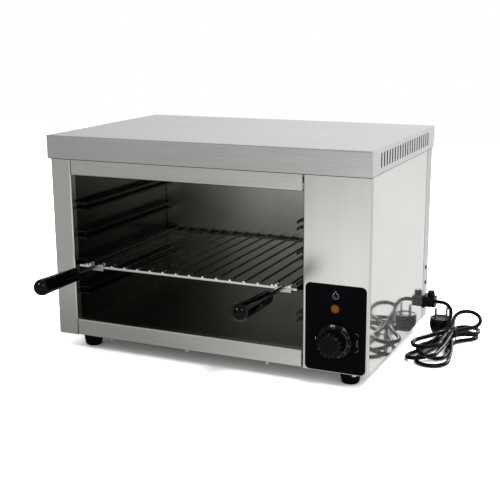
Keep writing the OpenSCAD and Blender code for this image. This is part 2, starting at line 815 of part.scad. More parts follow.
// Four legs of tube folded to and fro, with both ends through the right wall
module element(mid_y) {
    color([0.35, 0.3, 0.28]) {
        for (s = [-1.5, 1.5]) {
            rod_x(element_tube_d, bend_x0, element_end_x, mid_y + s * leg_pitch, element_z);
            rod_x(terminal_d, element_end_x - overcut, element_end_x + terminal_l,
                mid_y + s * leg_pitch, element_z);
        }
        for (s = [-0.5, 0.5])
            rod_x(element_tube_d, bend_x0, bend_x1, mid_y + s * leg_pitch, element_z);
        for (s = [-1, 1]) tube_bend(bend_x0, mid_y + s * leg_pitch, -1);
        tube_bend(bend_x1, mid_y, 1);
    }
}

module front_element() { element(element_mids[0]); }
module rear_element() { element(element_mids[1]); }

module element_hangers() {
    plate_y0 = element_mids[0] - 1.5 * leg_pitch - element_tube_d;
    plate_y1 = element_mids[1] + 1.5 * leg_pitch + element_tube_d;
    color("gray") for (x = hanger_xs) difference() {
        slab(x, x + hanger_t, plate_y0, plate_y1, element_z - element_tube_d * 0.9, reflector_z);
        for (m = element_mids, s = [-1.5:1:1.5])
            rod_x(element_tube_d + fit_gap, x - overcut, x + hanger_t + overcut,
                m + s * leg_pitch, element_z);
    }
}

module element_fittings() {
    color("goldenrod") for (y = fitting_y) difference() {
        union() {
            rod_x(collar_d, wall_x1 - collar_t, wall_x1, y, element_z);
            rod_x(fitting_d, wall_x1 - collar_t, element_end_x - 6, y, element_z);
        }
        rod_x(element_tube_d + 2 * slide_gap, wall_x1 - collar_t - overcut, element_end_x, y,
            element_z);
    }
}

module element_nuts() {
    color("goldenrod") for (y = fitting_y)
        translate([wall_x1 + liner_t, y, element_z]) rotate([0, 90, 0]) difference() {
            cylinder(d = fitting_d * 1.5, h = 5, $fn = 6);
            translate([0, 0, -overcut]) cylinder(d = fitting_d + 2 * slide_gap, h = 5 + 2 * overcut);
        }
}

module element_beads() {
    color("white") for (y = fitting_y) difference() {
        rod_x(bead_d, element_end_x, element_end_x + bead_l, y, element_z);
        rod_x(terminal_d + 2 * slide_gap, element_end_x - overcut,
            element_end_x + bead_l + overcut, y, element_z);
    }
}

// ---------- Thermostat and lamp ----------

module thermostat_body() {
    color("darkgray") difference() {
        union() {
            slab(overlay_x - thermostat_w / 2, overlay_x + thermostat_w / 2, thermostat_y0,
                thermostat_y0 + thermostat_l, knob_z - thermostat_h / 2, knob_z + thermostat_h / 2);
            rod_y(bush_d, overlay_x, overlay_y0, thermostat_y0 + overcut, knob_z);
        }
        rod_y(shaft_d + 2 * slide_gap, overlay_x, overlay_y0 - overcut,
            thermostat_y0 + shaft_inner_l + fit_gap, knob_z);
        for (s = [-1, 1])
            rod_y(screw_d + 2 * slide_gap, overlay_x + s * thermostat_screw_in,
                thermostat_y0 - overcut, thermostat_y0 + 8, knob_z);
    }
}

module thermostat_shaft() {
    color("gainsboro") difference() {
        rod_y(shaft_d, overlay_x, knob_y0 + shaft_cover, thermostat_y0 + shaft_inner_l, knob_z);
        slab(overlay_x - shaft_d, overlay_x + shaft_d, knob_y0 + shaft_cover - overcut, knob_y1,
            knob_z + shaft_flat, knob_z + shaft_d);
    }
}

module thermostat_screws() {
    color("gainsboro") for (s = [-1, 1])
        translate([overlay_x + s * thermostat_screw_in, face_y, knob_z]) rotate([90, 0, 0])
            pan_screw(screw_d, 7, knob_gap);
}

// Sensing bulb along the right wall, and the thin tube that leads down to the thermostat
module thermostat_bulb() {
    bulb_neck_y = bulb_y0 - 20;
    outside_x = wall_x1 + liner_t + 8;
    tube_y1 = thermostat_y0 + thermostat_l;
    color("peru") {
        rod_y(bulb_d, bulb_x, bulb_y0, bulb_y0 + bulb_l, bulb_z);
        swept_tube([[bulb_x, bulb_y0 + 1, bulb_z], [bulb_x, bulb_y0 - 5, bulb_z],
            [bulb_x + 1, bulb_neck_y + 6, bulb_z + 3], [bulb_x + 4, bulb_neck_y, capillary_z],
            [wall_x1 - 2, bulb_neck_y, capillary_z], [outside_x, bulb_neck_y, capillary_z],
            [outside_x + 6, bulb_neck_y - 4, capillary_z - 6],
            [outside_x + 8, bulb_neck_y - route_step, capillary_z - route_bend],
            [outside_x + 8, tube_y1 + route_reach, knob_z + route_rise],
            [outside_x + 12, tube_y1 + route_bend, knob_z + route_bend],
            [overlay_x - 12, tube_y1 + route_drop, knob_z + 8], [overlay_x - 8, tube_y1 + 6, knob_z],
            [overlay_x - 8, tube_y1, knob_z]], capillary_d, wire_sides);
    }
}

module bulb_clips() {
    color("silver") for (f = [0.2, 0.8]) difference() {
        slab(bulb_x - bulb_d / 2 - 1.5, wall_x1, bulb_y0 + f * bulb_l - 3, bulb_y0 + f * bulb_l + 3,
            bulb_z - bulb_d / 2 - 1.5, bulb_z + bulb_d / 2 + 1.5);
        rod_y(bulb_d + 2 * slide_gap, bulb_x, bulb_y0, bulb_y0 + bulb_l, bulb_z);
    }
}

module knob_outline() {
    flute_d = PI * knob_grip_d / flute_count * 0.55;
    difference() {
        circle(d = knob_grip_d);
        for (k = [0:flute_count - 1])
            rotate(360 * (k + 0.5) / flute_count)
                translate([knob_grip_d / 2 + flute_d * 0.2, 0]) circle(d = flute_d);
    }
}

// The bore stops below the cap and has a flat to match the shaft's
module knob_bore() {
    difference() {
        translate([0, 0, -overcut])
            cylinder(d = shaft_d + 2 * slide_gap, h = knob_h - shaft_cover + overcut + fit_gap);
        translate([-shaft_d, shaft_flat + slide_gap, -2 * overcut])
            cube([2 * shaft_d, shaft_d, knob_h]);
    }
}

module knob() {
    chamfer = 2;
    color([0.08, 0.08, 0.09]) translate([overlay_x, knob_y1, knob_z]) rotate([90, 0, 0])
        difference() {
            union() {
                rotate_extrude()
                    polygon([[0, 0], [knob_d / 2, 0], [knob_d / 2, skirt_h * 0.4],
                        [knob_d * 0.43, skirt_h], [0, skirt_h]]);
                linear_extrude(knob_h) knob_outline();
            }
            translate([0, 0, knob_h - knob_cap_t]) cylinder(d = knob_cap_d + fit_gap, h = knob_h);
            knob_bore();
            rotate_extrude()
                polygon([[knob_grip_d / 2 + overcut, knob_h - chamfer - overcut],
                    [knob_grip_d / 2 + overcut, knob_h + overcut],
                    [knob_grip_d / 2 - chamfer - overcut, knob_h + overcut]]);
        }
}

module knob_cap() {
    color([0.15, 0.15, 0.16])
        rod_y(knob_cap_d, overlay_x, knob_y0, knob_y0 + knob_cap_t, knob_z);
}

module pilot_lamp_lens() {
    dome_steps = 6;
    dome_angle = asin(lens_d / 2 / lens_dome_r);
    dome = [for (k = [0:dome_steps - 1]) let (a = dome_angle * (1 - k / dome_steps))
        [lens_dome_r * sin(a), lens_rim_h + lens_dome_r * (cos(a) - cos(dome_angle))]];
    color([0.85, 0.45, 0.08]) translate([overlay_x, overlay_y0, lamp_z]) rotate([90, 0, 0])
        rotate_extrude()
            polygon(concat([[0, 0], [lens_d / 2, 0]], dome, [[0, dome[dome_steps - 1][1]]]));
}

module pilot_lamp_body() {
    color("black") {
        rod_y(lamp_body_d, overlay_x, overlay_y0, lamp_tab_y0, lamp_z);
        for (s = [-1, 1])
            translate([overlay_x + s * lamp_tab_x, (lamp_tab_y0 + lamp_tab_y1) / 2, lamp_z])
                cube([2.8, lamp_tab_y1 - lamp_tab_y0, 0.8], center = true);
    }
}

module pilot_lamp_nut() {
    color("black") translate([overlay_x, face_y + sheet_t, lamp_z]) rotate([-90, 0, 0])
        difference() {
            cylinder(d = lamp_body_d * 1.5, h = 4, $fn = 6);
            translate([0, 0, -overcut])
                cylinder(d = lamp_body_d + 2 * slide_gap, h = 4 + 2 * overcut);
        }
}

// ---------- Wiring ----------

module terminal_block() {
    color("ivory") difference() {
        slab(terminal_xs[0], terminal_xs[1], terminal_screw_y - terminal_block_w / 2,
            terminal_screw_y + terminal_block_w / 2, terminal_mid_z - terminal_block_h / 2,
            terminal_mid_z + terminal_block_h / 2);
        for (z = terminal_screw_zs)
            rod_x(screw_d + 2 * slide_gap, terminal_xs[1] - 8, terminal_xs[1] + overcut,
                terminal_screw_y, z);
        for (z = [-1, 0, 1])
            rod_y(5, terminal_xs[0] + 8, terminal_screw_y - terminal_block_w / 2 - overcut,
                terminal_screw_y - terminal_block_w / 2 + 6, terminal_mid_z + 8 * z);
    }
}

module terminal_screws() {
    color("gainsboro") for (z = terminal_screw_zs)
        translate([body_hw, terminal_screw_y, z]) rotate([0, 90, 0])
            pan_screw(screw_d, 8, low_head_h);
}

// Insulated leads between the terminal block, the thermostat, the lamp and the elements
module internal_wires() {
    block_x = terminal_xs[0] + 8;
    block_y = terminal_screw_y - terminal_block_w / 2;
    post_x = element_end_x + terminal_l;
    rear_y = thermostat_y0 + thermostat_l;
    lead_x = overlay_x + route_step;
    color("firebrick") {
        lead([[block_x, block_y + 5, terminal_mid_z], [block_x, block_y - 8, terminal_mid_z],
            [block_x - 2, block_y - route_bow, terminal_mid_z - route_drop],
            [lead_x + 2, rear_y + route_reach, knob_z - 6],
            [lead_x, rear_y + route_step, knob_z - route_step], [lead_x, rear_y, knob_z - route_step]]);
        lead([[block_x, block_y + 5, terminal_mid_z + 8], [block_x, block_y - 8, terminal_mid_z + 8],
            [block_x - 4, block_y - route_bend, terminal_mid_z + route_bend],
            [post_x + 12, fitting_y[3] + 6, element_z - route_bow],
            [post_x + route_step, fitting_y[3], element_z - 8],
            [post_x + 6, fitting_y[3], element_z], [post_x, fitting_y[3], element_z]]);
        lead([[post_x, fitting_y[1], element_z], [post_x + 6, fitting_y[1], element_z],
            [post_x + route_step, fitting_y[1] + 4, element_z],
            [post_x + route_step, fitting_y[2] - 4, element_z],
            [post_x + 6, fitting_y[2], element_z], [post_x, fitting_y[2], element_z]]);
        lead([[lead_x, rear_y, knob_z + 2], [lead_x, rear_y + 20, knob_z + 2],
            [lead_x + 12, rear_y + route_bend, knob_z + 16],
            [lead_x + route_drop, fitting_y[0] + 20, element_z - route_reach],
            [post_x + route_step, fitting_y[0] + 4, element_z - 8], [post_x + 6, fitting_y[0], element_z],
            [post_x, fitting_y[0], element_z]]);
        lead([[lead_x, rear_y, knob_z + route_drop], [lead_x, rear_y + 8, knob_z + route_drop],
            [lead_x, rear_y + 12, knob_z + route_bend], [overlay_x + 8, lamp_tab_y1 + route_step, lamp_z - 6],
            [overlay_x + lamp_tab_x, lamp_tab_y1 + 6, lamp_z],
            [overlay_x + lamp_tab_x, lamp_tab_y1, lamp_z]]);
    }
}

module lead(route) {
    swept_tube(route, lead_d, wire_sides);
}

// ---------- Grid and handles ----------

module wire_grid() {
    color("lightgray") {
        for (y = [bar_y0, bar_y1])
            rod_x(bar_d, bar_x0 - bar_d / 2, bar_x1 + bar_d / 2, y, bar_z);
        for (x = [bar_x0, bar_x1]) rod_y(bar_d, x, bar_y0, bar_y1, bar_z);
        for (k = [0:wire_count - 1])
            rod_y(wire_d, wire_x0 + k * wire_pitch, bar_y0 - wire_end, bar_y1 + wire_end, wire_z);
    }
}

// Puts its children at each handle, with the origin on the bracket's front face
module each_handle() {
    for (x = handle_xs) translate([x, bracket_y0, rod_z]) children();
}

module handle_brackets() {
    color("gainsboro") each_handle() difference() {
        union() {
            slab(-bracket_w / 2, bracket_w / 2, 0, bracket_t, bracket_z0 - rod_z, notch_z - rod_z);
            for (s = [-1, 1])
                translate([s * (bracket_w / 2 - ear_w / 2), bracket_t / 2, (bracket_z0 + ear_z) / 2 - rod_z])
                    cube([ear_w, bracket_t, ear_z - bracket_z0], center = true);
            slab(-bracket_w / 2, bracket_w / 2, 0, clamp_y0 - bracket_y0, bracket_z0 - rod_z,
                bracket_z0 + bracket_t - rod_z);
            intersection() {
                rotate([0, 0, -handle_turn]) rod_y(socket_d, 0, -socket_l, bracket_t, 0);
                union() {
                    slab(-socket_d, socket_d, -2 * socket_l, bracket_t, -socket_d, notch_z - rod_z);
                    slab(-socket_d, socket_d, -2 * socket_l, wire_tip_y - bracket_y0, -socket_d,
                        socket_d);
                }
            }
        }
        for (s = [-1, 1])
            rod_y(clamp_screw_d + 2 * slide_gap, s * (bracket_w / 2 - ear_w / 2), -overcut,
                bracket_t + overcut, clamp_screw_z - rod_z);
    }
}

module bracket_clamps() {
    color("gainsboro") each_handle() difference() {
        union() {
            slab(-bracket_w / 2, bracket_w / 2, clamp_y0 - bracket_y0,
                clamp_y0 - bracket_y0 + bracket_t, bracket_z0 - rod_z, notch_z - rod_z);
            for (s = [-1, 1])
                translate([s * (bracket_w / 2 - ear_w / 2), clamp_y0 - bracket_y0 + bracket_t / 2,
                    (bracket_z0 + ear_z) / 2 - rod_z])
                    cube([ear_w, bracket_t, ear_z - bracket_z0], center = true);
        }
        for (s = [-1, 1])
            rod_y(clamp_screw_d + 2 * slide_gap, s * (bracket_w / 2 - ear_w / 2), 0,
                clamp_y0 - bracket_y0 + bracket_t + overcut, clamp_screw_z - rod_z);
    }
}

module bracket_screws() {
    color("white") each_handle() for (s = [-1, 1])
        translate([s * (bracket_w / 2 - ear_w / 2), 0, clamp_screw_z - rod_z])
            rotate([90, 0, 0]) {
                cylinder(d = clamp_screw_d * 1.6, h = 1.2);
                translate([0, 0, -(clamp_y0 - bracket_y0 + bracket_t + 1)])
                    cylinder(d = clamp_screw_d, h = clamp_y0 - bracket_y0 + bracket_t + 1);
            }
}

module handle_rods() {
    color("silver") each_handle() rotate([0, 0, -handle_turn])
        rod_y(handle_rod_d, 0, -grip_start_l - grip_bore_l, -socket_l, 0);
}

module handle_grips() {
    color([0.06, 0.06, 0.06]) each_handle() rotate([0, 0, -handle_turn])
        translate([0, -grip_start_l, 0]) rotate([90, 0, 0]) difference() {
            union() {
                cylinder(d1 = grip_neck_d * 0.9, d2 = grip_neck_d, h = 2);
                translate([0, 0, 2]) cylinder(d1 = grip_neck_d, d2 = grip_d, h = grip_l - grip_r - 2);
                translate([0, 0, grip_l - grip_r]) sphere(d = grip_d);
            }
            translate([0, 0, -overcut])
                cylinder(d = handle_rod_d + 2 * slide_gap, h = grip_bore_l + overcut);
        }
}

// ---------- Feet and fasteners ----------

module each_foot() {
    for (x = foot_xs, y = foot_ys) translate([x, y, 0]) children();
}

module feet() {
    edge_h = 3;
    color([0.08, 0.08, 0.08]) each_foot() difference() {
        union() {
            cylinder(d1 = foot_floor_d - 3, d2 = foot_floor_d, h = edge_h);
            translate([0, 0, edge_h])
                cylinder(d1 = foot_floor_d, d2 = foot_top_d, h = foot_h + sheet_t - edge_h);
        }
        translate([0, 0, -overcut]) cylinder(d = foot_recess_d, h = foot_recess_h + overcut);
        translate([0, 0, -overcut]) cylinder(d = foot_bore_d, h = foot_h + 2 * overcut + sheet_t);
    }
}

module foot_screws() {
    shank_l = base_top_z - foot_recess_h + foot_nut_t + 2;
    color("silver") each_foot() translate([0, 0, foot_recess_h]) rotate([180, 0, 0])
        pan_screw(foot_screw_d, shank_l, foot_screw_d * 0.6);
}

module foot_nuts() {
    color("silver") each_foot() translate([0, 0, base_top_z]) hex_nut(foot_screw_d, foot_nut_t);
}

module base_screws() {
    shank_l = 9;
    color("silver") {
        for (x = base_screw_xs, y = [front_screw_y, rear_screw_y])
            hex_screw(x, y, body_z0, shank_l);
        for (x = [-side_screw_x, side_screw_x]) hex_screw(x, side_screw_y, body_z0, shank_l);
    }
}

// Screws up through the rear panel's flange and the cover's lip
module cover_screws() {
    color("silver") for (x = cover_screw_xs)
        translate([x, cover_screw_y, rim_z - sheet_t]) rotate([180, 0, 0])
            pan_screw(cover_screw_d, 2 * sheet_t + nut_t + 1, low_head_h);
}

module cover_nuts() {
    color("silver") for (x = cover_screw_xs)
        translate([x, cover_screw_y, rim_z + sheet_t]) hex_nut(cover_screw_d, nut_t);
}

// ---------- Gland and lead ----------

module cable_gland() {
    color([0.07, 0.07, 0.07]) difference() {
        union() {
            translate([body_hw, gland_y, gland_z]) rotate([90, 0, 90])
                linear_extrude(gland_flange_t) rounded_rect(gland_flange_w, gland_flange_h, 3);
            translate([body_hw, gland_y, gland_z]) rotate([90, 0, 90])
                linear_extrude(gland_reach) rounded_rect(gland_block_w, gland_block_h, 2.5);
            rod_x(gland_neck_d, body_hw - gland_thread_l, body_hw, gland_y, gland_z);
        }
        rod_x(cord_d + 2 * slide_gap, body_hw - gland_thread_l - overcut, gland_x1 + overcut,
            gland_y, gland_z);
        rod_z(clamp_d + 2 * slide_gap, clamp_x, gland_y, clamp_foot_z, gland_z + gland_block_h);
    }
}

// Domed clamp screw that presses on the lead from above
module gland_clamp() {
    head_z = gland_z + gland_block_h / 2 + 6;
    color([0.07, 0.07, 0.07]) {
        rod_z(clamp_d, clamp_x, gland_y, clamp_foot_z, head_z);
        translate([clamp_x, gland_y, head_z]) intersection() {
            sphere(d = clamp_d);
            cylinder(d = clamp_d, h = clamp_d * 0.32);
        }
    }
}

module gland_locknut() {
    color([0.1, 0.1, 0.1]) translate([body_hw - sheet_t, gland_y, gland_z]) rotate([0, -90, 0])
        difference() {
            cylinder(d = gland_neck_d * 1.4, h = 5, $fn = 6);
            translate([0, 0, -overcut])
                cylinder(d = gland_neck_d + 2 * slide_gap, h = 5 + 2 * overcut);
        }
}

// The lead inside the casing, from the gland's mouth up to the terminal block
module cord_tail() {
    riser_x = body_hw - gland_thread_l - cord_d / 2 - 0.5;
    color([0.05, 0.05, 0.05]) {
        rod_x(cord_d, riser_x, gland_x1, gland_y, gland_z);
        translate([riser_x, gland_y, gland_z]) sphere(d = cord_d);
        rod_z(cord_d, riser_x, gland_y, gland_z, terminal_mid_z - terminal_block_h / 2);
    }
}

module power_cord() {
    color([0.05, 0.05, 0.05]) swept_tube(cord_route, cord_d, cord_sides);
}

// One flat lobe of the hank: the outline round three loop ends
module hank_lobe(ends, r, h) {
    linear_extrude(h) hull() for (p = ends) translate(p) circle(r, $fn = 32);
}

module cord_hank() {
    color([0.05, 0.05, 0.05]) union() {
        hank_lobe(front_lobe, hank_end_r, hank_h);
        hank_lobe(rear_lobe, rear_end_r, hank_h);
        hank_lobe([rear_lobe[0], rear_lobe[1]], rear_end_r, crest_h);
        slab(waist[0] - waist_w / 2, waist[0] + waist_w / 2, front_lobe[len(front_lobe) - 1][1],
            rear_lobe[len(rear_lobe) - 1][1], waist_z0, hank_h);
    }
}

module cord_tie() {
    tie_t = 1.2;
    tie_w = 4;
    color([0.1, 0.1, 0.1]) difference() {
        slab(waist[0] - waist_w / 2 - tie_t, waist[0] + waist_w / 2 + tie_t, waist[1] - tie_w / 2,
            waist[1] + tie_w / 2, waist_z0 - tie_t, hank_h + tie_t);
        slab(waist[0] - waist_w / 2, waist[0] + waist_w / 2, waist[1] - tie_w, waist[1] + tie_w,
            waist_z0, hank_h);
    }
}

// Places the plug on its back, its tail leading away from the line through the pins
module plug_place() {
    translate([plug_mid[0], plug_mid[1], 0]) rotate([0, 0, plug_turn]) children();
}

module plug_body() {
    color([0.05, 0.05, 0.05]) plug_place() difference() {
        union() {
            cylinder(d1 = plug_d - 3, d2 = plug_d, h = 3);
            translate([0, 0, 3]) cylinder(d = plug_d, h = plug_h - 3);
            translate([0, 0, plug_tail_z]) rotate([90, 0, 0])
                cylinder(d1 = 20, d2 = cord_d + 4, h = plug_tail_l);
        }
        for (s = [-1, 1])
            translate([0, s * plug_d / 2, plug_h]) cube([clip_w + 1, 4, 16], center = true);
        for (s = [-1, 1])
            translate([s * pin_pitch / 2, 0, plug_h - 8])
                cylinder(d = pin_d + 2 * slide_gap, h = 8 + overcut);
    }
}

// Two pins, and the two earth clips in the notches of the plug's rim
module plug_contacts() {
    color("gainsboro") plug_place() {
        for (s = [-1, 1]) {
            translate([s * pin_pitch / 2, 0, plug_h - 8]) cylinder(d = pin_d, h = 8 + pin_l - pin_d / 2);
            translate([s * pin_pitch / 2, 0, plug_h + pin_l - pin_d / 2]) sphere(d = pin_d);
            translate([0, s * (plug_d / 2 - 2 + clip_t / 2), plug_h - 4])
                cube([clip_w, clip_t, 8], center = true);
        }
    }
}

top_cover();
left_side_panel();
right_side_panel();
rear_panel();
base_plate();
front_post();
front_header();
front_rail();
control_fascia();
control_overlay();
cavity_left_wall();
cavity_right_wall();
cavity_back_wall();
cavity_floor();
reflector();
top_insulation();
upper_runners_left();
lower_runners_left();
upper_runners_right();
lower_runners_right();
front_element();
rear_element();
element_hangers();
element_fittings();
element_nuts();
element_beads();
thermostat_body();
thermostat_shaft();
thermostat_screws();
thermostat_bulb();
bulb_clips();
knob();
knob_cap();
pilot_lamp_lens();
pilot_lamp_body();
pilot_lamp_nut();
terminal_block();
terminal_screws();
internal_wires();
wire_grid();
handle_brackets();
bracket_clamps();
bracket_screws();
handle_rods();
handle_grips();
feet();
foot_screws();
foot_nuts();
base_screws();
cover_screws();
cover_nuts();
cable_gland();
gland_clamp();
gland_locknut();
cord_tail();
power_cord();
cord_hank();
cord_tie();
plug_body();
plug_contacts();
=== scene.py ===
import logging
import math
from contextlib import contextmanager
from dataclasses import dataclass, field
from enum import Enum
from typing import Callable, Iterator, Mapping, Sequence

import bmesh
import bpy
from mathutils import Matrix, Vector
from mathutils.kdtree import KDTree


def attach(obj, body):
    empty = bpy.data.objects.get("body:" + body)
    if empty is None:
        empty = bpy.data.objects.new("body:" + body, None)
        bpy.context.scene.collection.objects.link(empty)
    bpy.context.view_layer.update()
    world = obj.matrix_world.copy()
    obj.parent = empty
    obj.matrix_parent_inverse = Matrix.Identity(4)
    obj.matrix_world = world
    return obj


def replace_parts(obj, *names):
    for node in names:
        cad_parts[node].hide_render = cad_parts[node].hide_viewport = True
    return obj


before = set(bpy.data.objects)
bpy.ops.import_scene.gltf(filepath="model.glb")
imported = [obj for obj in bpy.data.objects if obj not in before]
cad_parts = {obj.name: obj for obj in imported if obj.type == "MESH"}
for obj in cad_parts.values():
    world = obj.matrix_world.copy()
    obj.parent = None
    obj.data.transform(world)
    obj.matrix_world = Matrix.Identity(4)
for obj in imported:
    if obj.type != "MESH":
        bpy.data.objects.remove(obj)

MM = 0.001
LOG = logging.getLogger("cheese_melter")
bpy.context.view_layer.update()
UP = Vector((0.0, 0.0, 1.0))
WHITE = (1.0, 1.0, 1.0)
Pair = tuple[float, float]
Triple = tuple[float, float, float]


def mm(*values: float) -> Vector:
    """Turn three lengths in millimetres into a place in metres."""
    return Vector([value * MM for value in values])


# ---------------------------------------------------------------- shader maths


class Signal:
    """A shader socket that takes part in Python arithmetic."""

    def __init__(self, graph: "Graph", socket: bpy.types.NodeSocket) -> None:
        """Keep the socket and the graph it belongs to."""
        self.graph = graph
        self.socket = socket

    def math(self, operation: str, *values: object) -> "Signal":
        """Run one Math node on the values given."""
        return self.graph.value("Math", 0, dict(enumerate(values)), operation=operation)

    def __add__(self, other: object) -> "Signal":
        """This plus other."""
        return self.math("ADD", self, other)

    __radd__ = __add__

    def __mul__(self, other: object) -> "Signal":
        """This times other."""
        return self.math("MULTIPLY", self, other)

    def __sub__(self, other: object) -> "Signal":
        """This less other."""
        return self.math("SUBTRACT", self, other)

    def __rsub__(self, other: object) -> "Signal":
        """Other less this."""
        return self.math("SUBTRACT", other, self)

    def __pow__(self, other: object) -> "Signal":
        """This to the power of other."""
        return self.math("POWER", self, other)

    def __abs__(self) -> "Signal":
        """Size of this without its sign."""
        return self.math("ABSOLUTE", self)

    def sine(self) -> "Signal":
        """Sine of this, in radians."""
        return self.math("SINE", self)

    def most(self, other: object) -> "Signal":
        """The larger of this and other."""
        return self.math("MAXIMUM", self, other)

    def between(self, low: float, high: float) -> "Signal":
        """Rise smoothly from 0 at low to 1 at high."""
        sockets = {"Value": self, "From Min": low, "From Max": high}
        return self.graph.value("MapRange", "Result", sockets, interpolation_type="SMOOTHSTEP")


class Graph:
    """The node tree of one material or of the world."""

    def __init__(self, tree: bpy.types.NodeTree) -> None:
        """Empty the tree and keep it."""
        self.tree = tree
        tree.nodes.clear()

    def node(
        self, kind: str, inputs: Mapping[object, object], **settings: object
    ) -> bpy.types.Node:
        """Add a node, set it up, then fill or link its sockets.

        Args:
            kind: Type name of the node, without its "ShaderNode".
            inputs: Values, signals or sockets by socket name or number.
            **settings: Properties, which are set first.

        Returns:
            The new node.
        """
        made = self.tree.nodes.new(f"ShaderNode{kind}")
        for key, value in settings.items():
            setattr(made, key, value)
        for key, value in inputs.items():
            socket = made.inputs[key]
            source = value.socket if isinstance(value, Signal) else value
            if isinstance(source, bpy.types.NodeSocket):
                self.tree.links.new(source, socket)
            elif socket.type == "RGBA" and len(source) == 3:
                socket.default_value = (*source, 1.0)
            else:
                socket.default_value = source
        return made

    def value(
        self, kind: str, output: object, inputs: Mapping[object, object], **settings: object
    ) -> Signal:
        """Add a node and take one of its outputs, by name or number."""
        return Signal(self, self.node(kind, inputs, **settings).outputs[output])

    def place(self, stretch: Triple = (1.0, 1.0, 1.0)) -> Signal:
        """The object's own place, stretched by a factor for each axis."""
        source = self.value("TexCoord", "Object", {})
        return self.value("VectorMath", "Vector", {0: source, 1: stretch}, operation="MULTIPLY")

    def axes(self, vector: Signal) -> tuple[Signal, ...]:
        """Split a vector into its three parts."""
        return tuple(Signal(self, out) for out in self.node("SeparateXYZ", {0: vector}).outputs)

    def noise(self, scale: float, detail: float, stretch: Triple = (1.0, 1.0, 1.0)) -> Signal:
        """Soft noise from 0 to 1 at the object's own place."""
        sockets = {"Vector": self.place(stretch), "Scale": scale, "Detail": detail}
        return self.value("TexNoise", 0, sockets)

    def blend(self, first: object, second: object, factor: object) -> Signal:
        """Mix two colours by a factor."""
        return self.value("Mix", 2, {0: factor, 6: first, 7: second}, data_type="RGBA")

    def bump(self, height: Signal, strength: float, depth: float) -> Signal:
        """Turn a height from 0 to 1, which stands for a depth in metres, into a normal."""
        sockets = {"Height": height, "Strength": strength, "Distance": depth}
        return self.value("Bump", "Normal", sockets)

    def by_ray(
        self, plain: bpy.types.Node, mirrored: bpy.types.Node, seen: bpy.types.Node, share: float
    ) -> bpy.types.NodeSocket:
        """Mix three shaders by the kind of ray that meets them.

        Args:
            plain: What lights the object.
            mirrored: What metal and glass show.
            seen: What the camera sees.
            share: How much of the mirrored one is used.

        Returns:
            The mixed shader's socket.
        """
        rays = self.node("LightPath", {}).outputs
        camera, gloss, through = (
            Signal(self, rays[f"Is {kind} Ray"]) for kind in ("Camera", "Glossy", "Transmission")
        )
        shown = gloss.most(through) * share
        mixed = self.node("MixShader", {0: shown, 1: plain.outputs[0], 2: mirrored.outputs[0]})
        last = self.node("MixShader", {0: camera, 1: mixed.outputs[0], 2: seen.outputs[0]})
        return last.outputs[0]


# -------------------------------------------------------------------- finishes


@dataclass(frozen=True)
class Finish:
    """A surface finish that makes its material once.

    Attributes:
        name: Name of the material.
        colour: Plain colour in linear light.
        rough: Roughness of its smoothest parts.
    """

    name: str
    colour: Triple
    rough: float

    def material(self) -> bpy.types.Material:
        """Give the finish's material, made at the first call."""
        known = bpy.data.materials.get(self.name)
        if known is not None:
            return known
        made = bpy.data.materials.new(self.name)
        made.use_nodes = True
        made.diffuse_color = (*self.colour, 1.0)
        graph = Graph(made.node_tree)
        shader = graph.node("BsdfPrincipled", self.sockets(graph))
        graph.node("OutputMaterial", {"Surface": shader.outputs["BSDF"]})
        return made

    def shade(self, *shares: float, lift: float = 0.0) -> Triple:
        """The colour times one share, or one for each channel, plus a lift, up to white."""
        each = shares * 3 if len(shares) == 1 else shares
        return tuple(min(1.0, part * share + lift) for part, share in zip(self.colour, each))

    def sockets(self, graph: Graph) -> dict[str, object]:
        """Give the shader's sockets their values or signals."""
        return {"Base Color": self.colour, "Roughness": self.rough}


class Grain(Enum):
    """Way that a sheet's grain runs, as the stretch of its noise."""

    ALONG_X = (9.0, 900.0, 900.0)
    ALONG_Y = (900.0, 9.0, 900.0)
    ALONG_Z = (900.0, 900.0, 9.0)


@dataclass(frozen=True)
class BrushedSteel(Finish):
    """Rolled stainless sheet with a fine grain and a few handling marks.

    Attributes:
        grain: Way that the grain runs.
        streak: How much the grain varies the roughness.
        depth: Depth of the grain in metres.
        contrast: Share of the colour that the darkest lines lose.
    """

    grain: Grain = Grain.ALONG_X
    streak: float = 0.16
    depth: float = 0.00004
    contrast: float = 0.16

    def sockets(self, graph: Graph) -> dict[str, object]:
        """Give grain, cloudy wipe marks and a slight colour change along the sheet."""
        lines = graph.noise(1.0, 3.0, self.grain.value)
        broad = graph.noise(1.4, 1.0, tuple(part ** 0.5 for part in self.grain.value))
        cloud = graph.noise(5.0, 3.0)
        mix = lines * 0.5 + broad * 0.3 + cloud * 0.2
        dark = self.shade(1 - self.contrast)
        return {
            "Base Color": graph.blend(dark, self.colour, mix.between(0.25, 0.7)),
            "Metallic": 1.0,
            "Roughness": self.rough + (lines - 0.5) * self.streak + (cloud - 0.4) * 0.08,
            "Normal": graph.bump(lines, 0.5, self.depth),
        }


@dataclass(frozen=True)
class PolishedSteel(Finish):
    """Near-mirror sheet with a haze of wipe marks and faint rolling waves."""

    def sockets(self, graph: Graph) -> dict[str, object]:
        """Give haze, faint lines and long shallow waves."""
        haze = graph.noise(9.0, 4.0)
        lines = graph.noise(1.0, 2.0, (600.0, 14.0, 600.0))
        wave = graph.noise(7.0, 0.0, (1.0, 1.0, 1.6))
        return {
            "Base Color": graph.blend(self.shade(0.96), self.colour, haze.between(0.3, 0.6)),
            "Metallic": 0.86,
            "Roughness": self.rough + haze.between(0.45, 0.8) * 0.03 + (lines - 0.5) * 0.03,
            "Normal": graph.bump(wave + lines * 0.01, 0.4, 0.0009),
        }


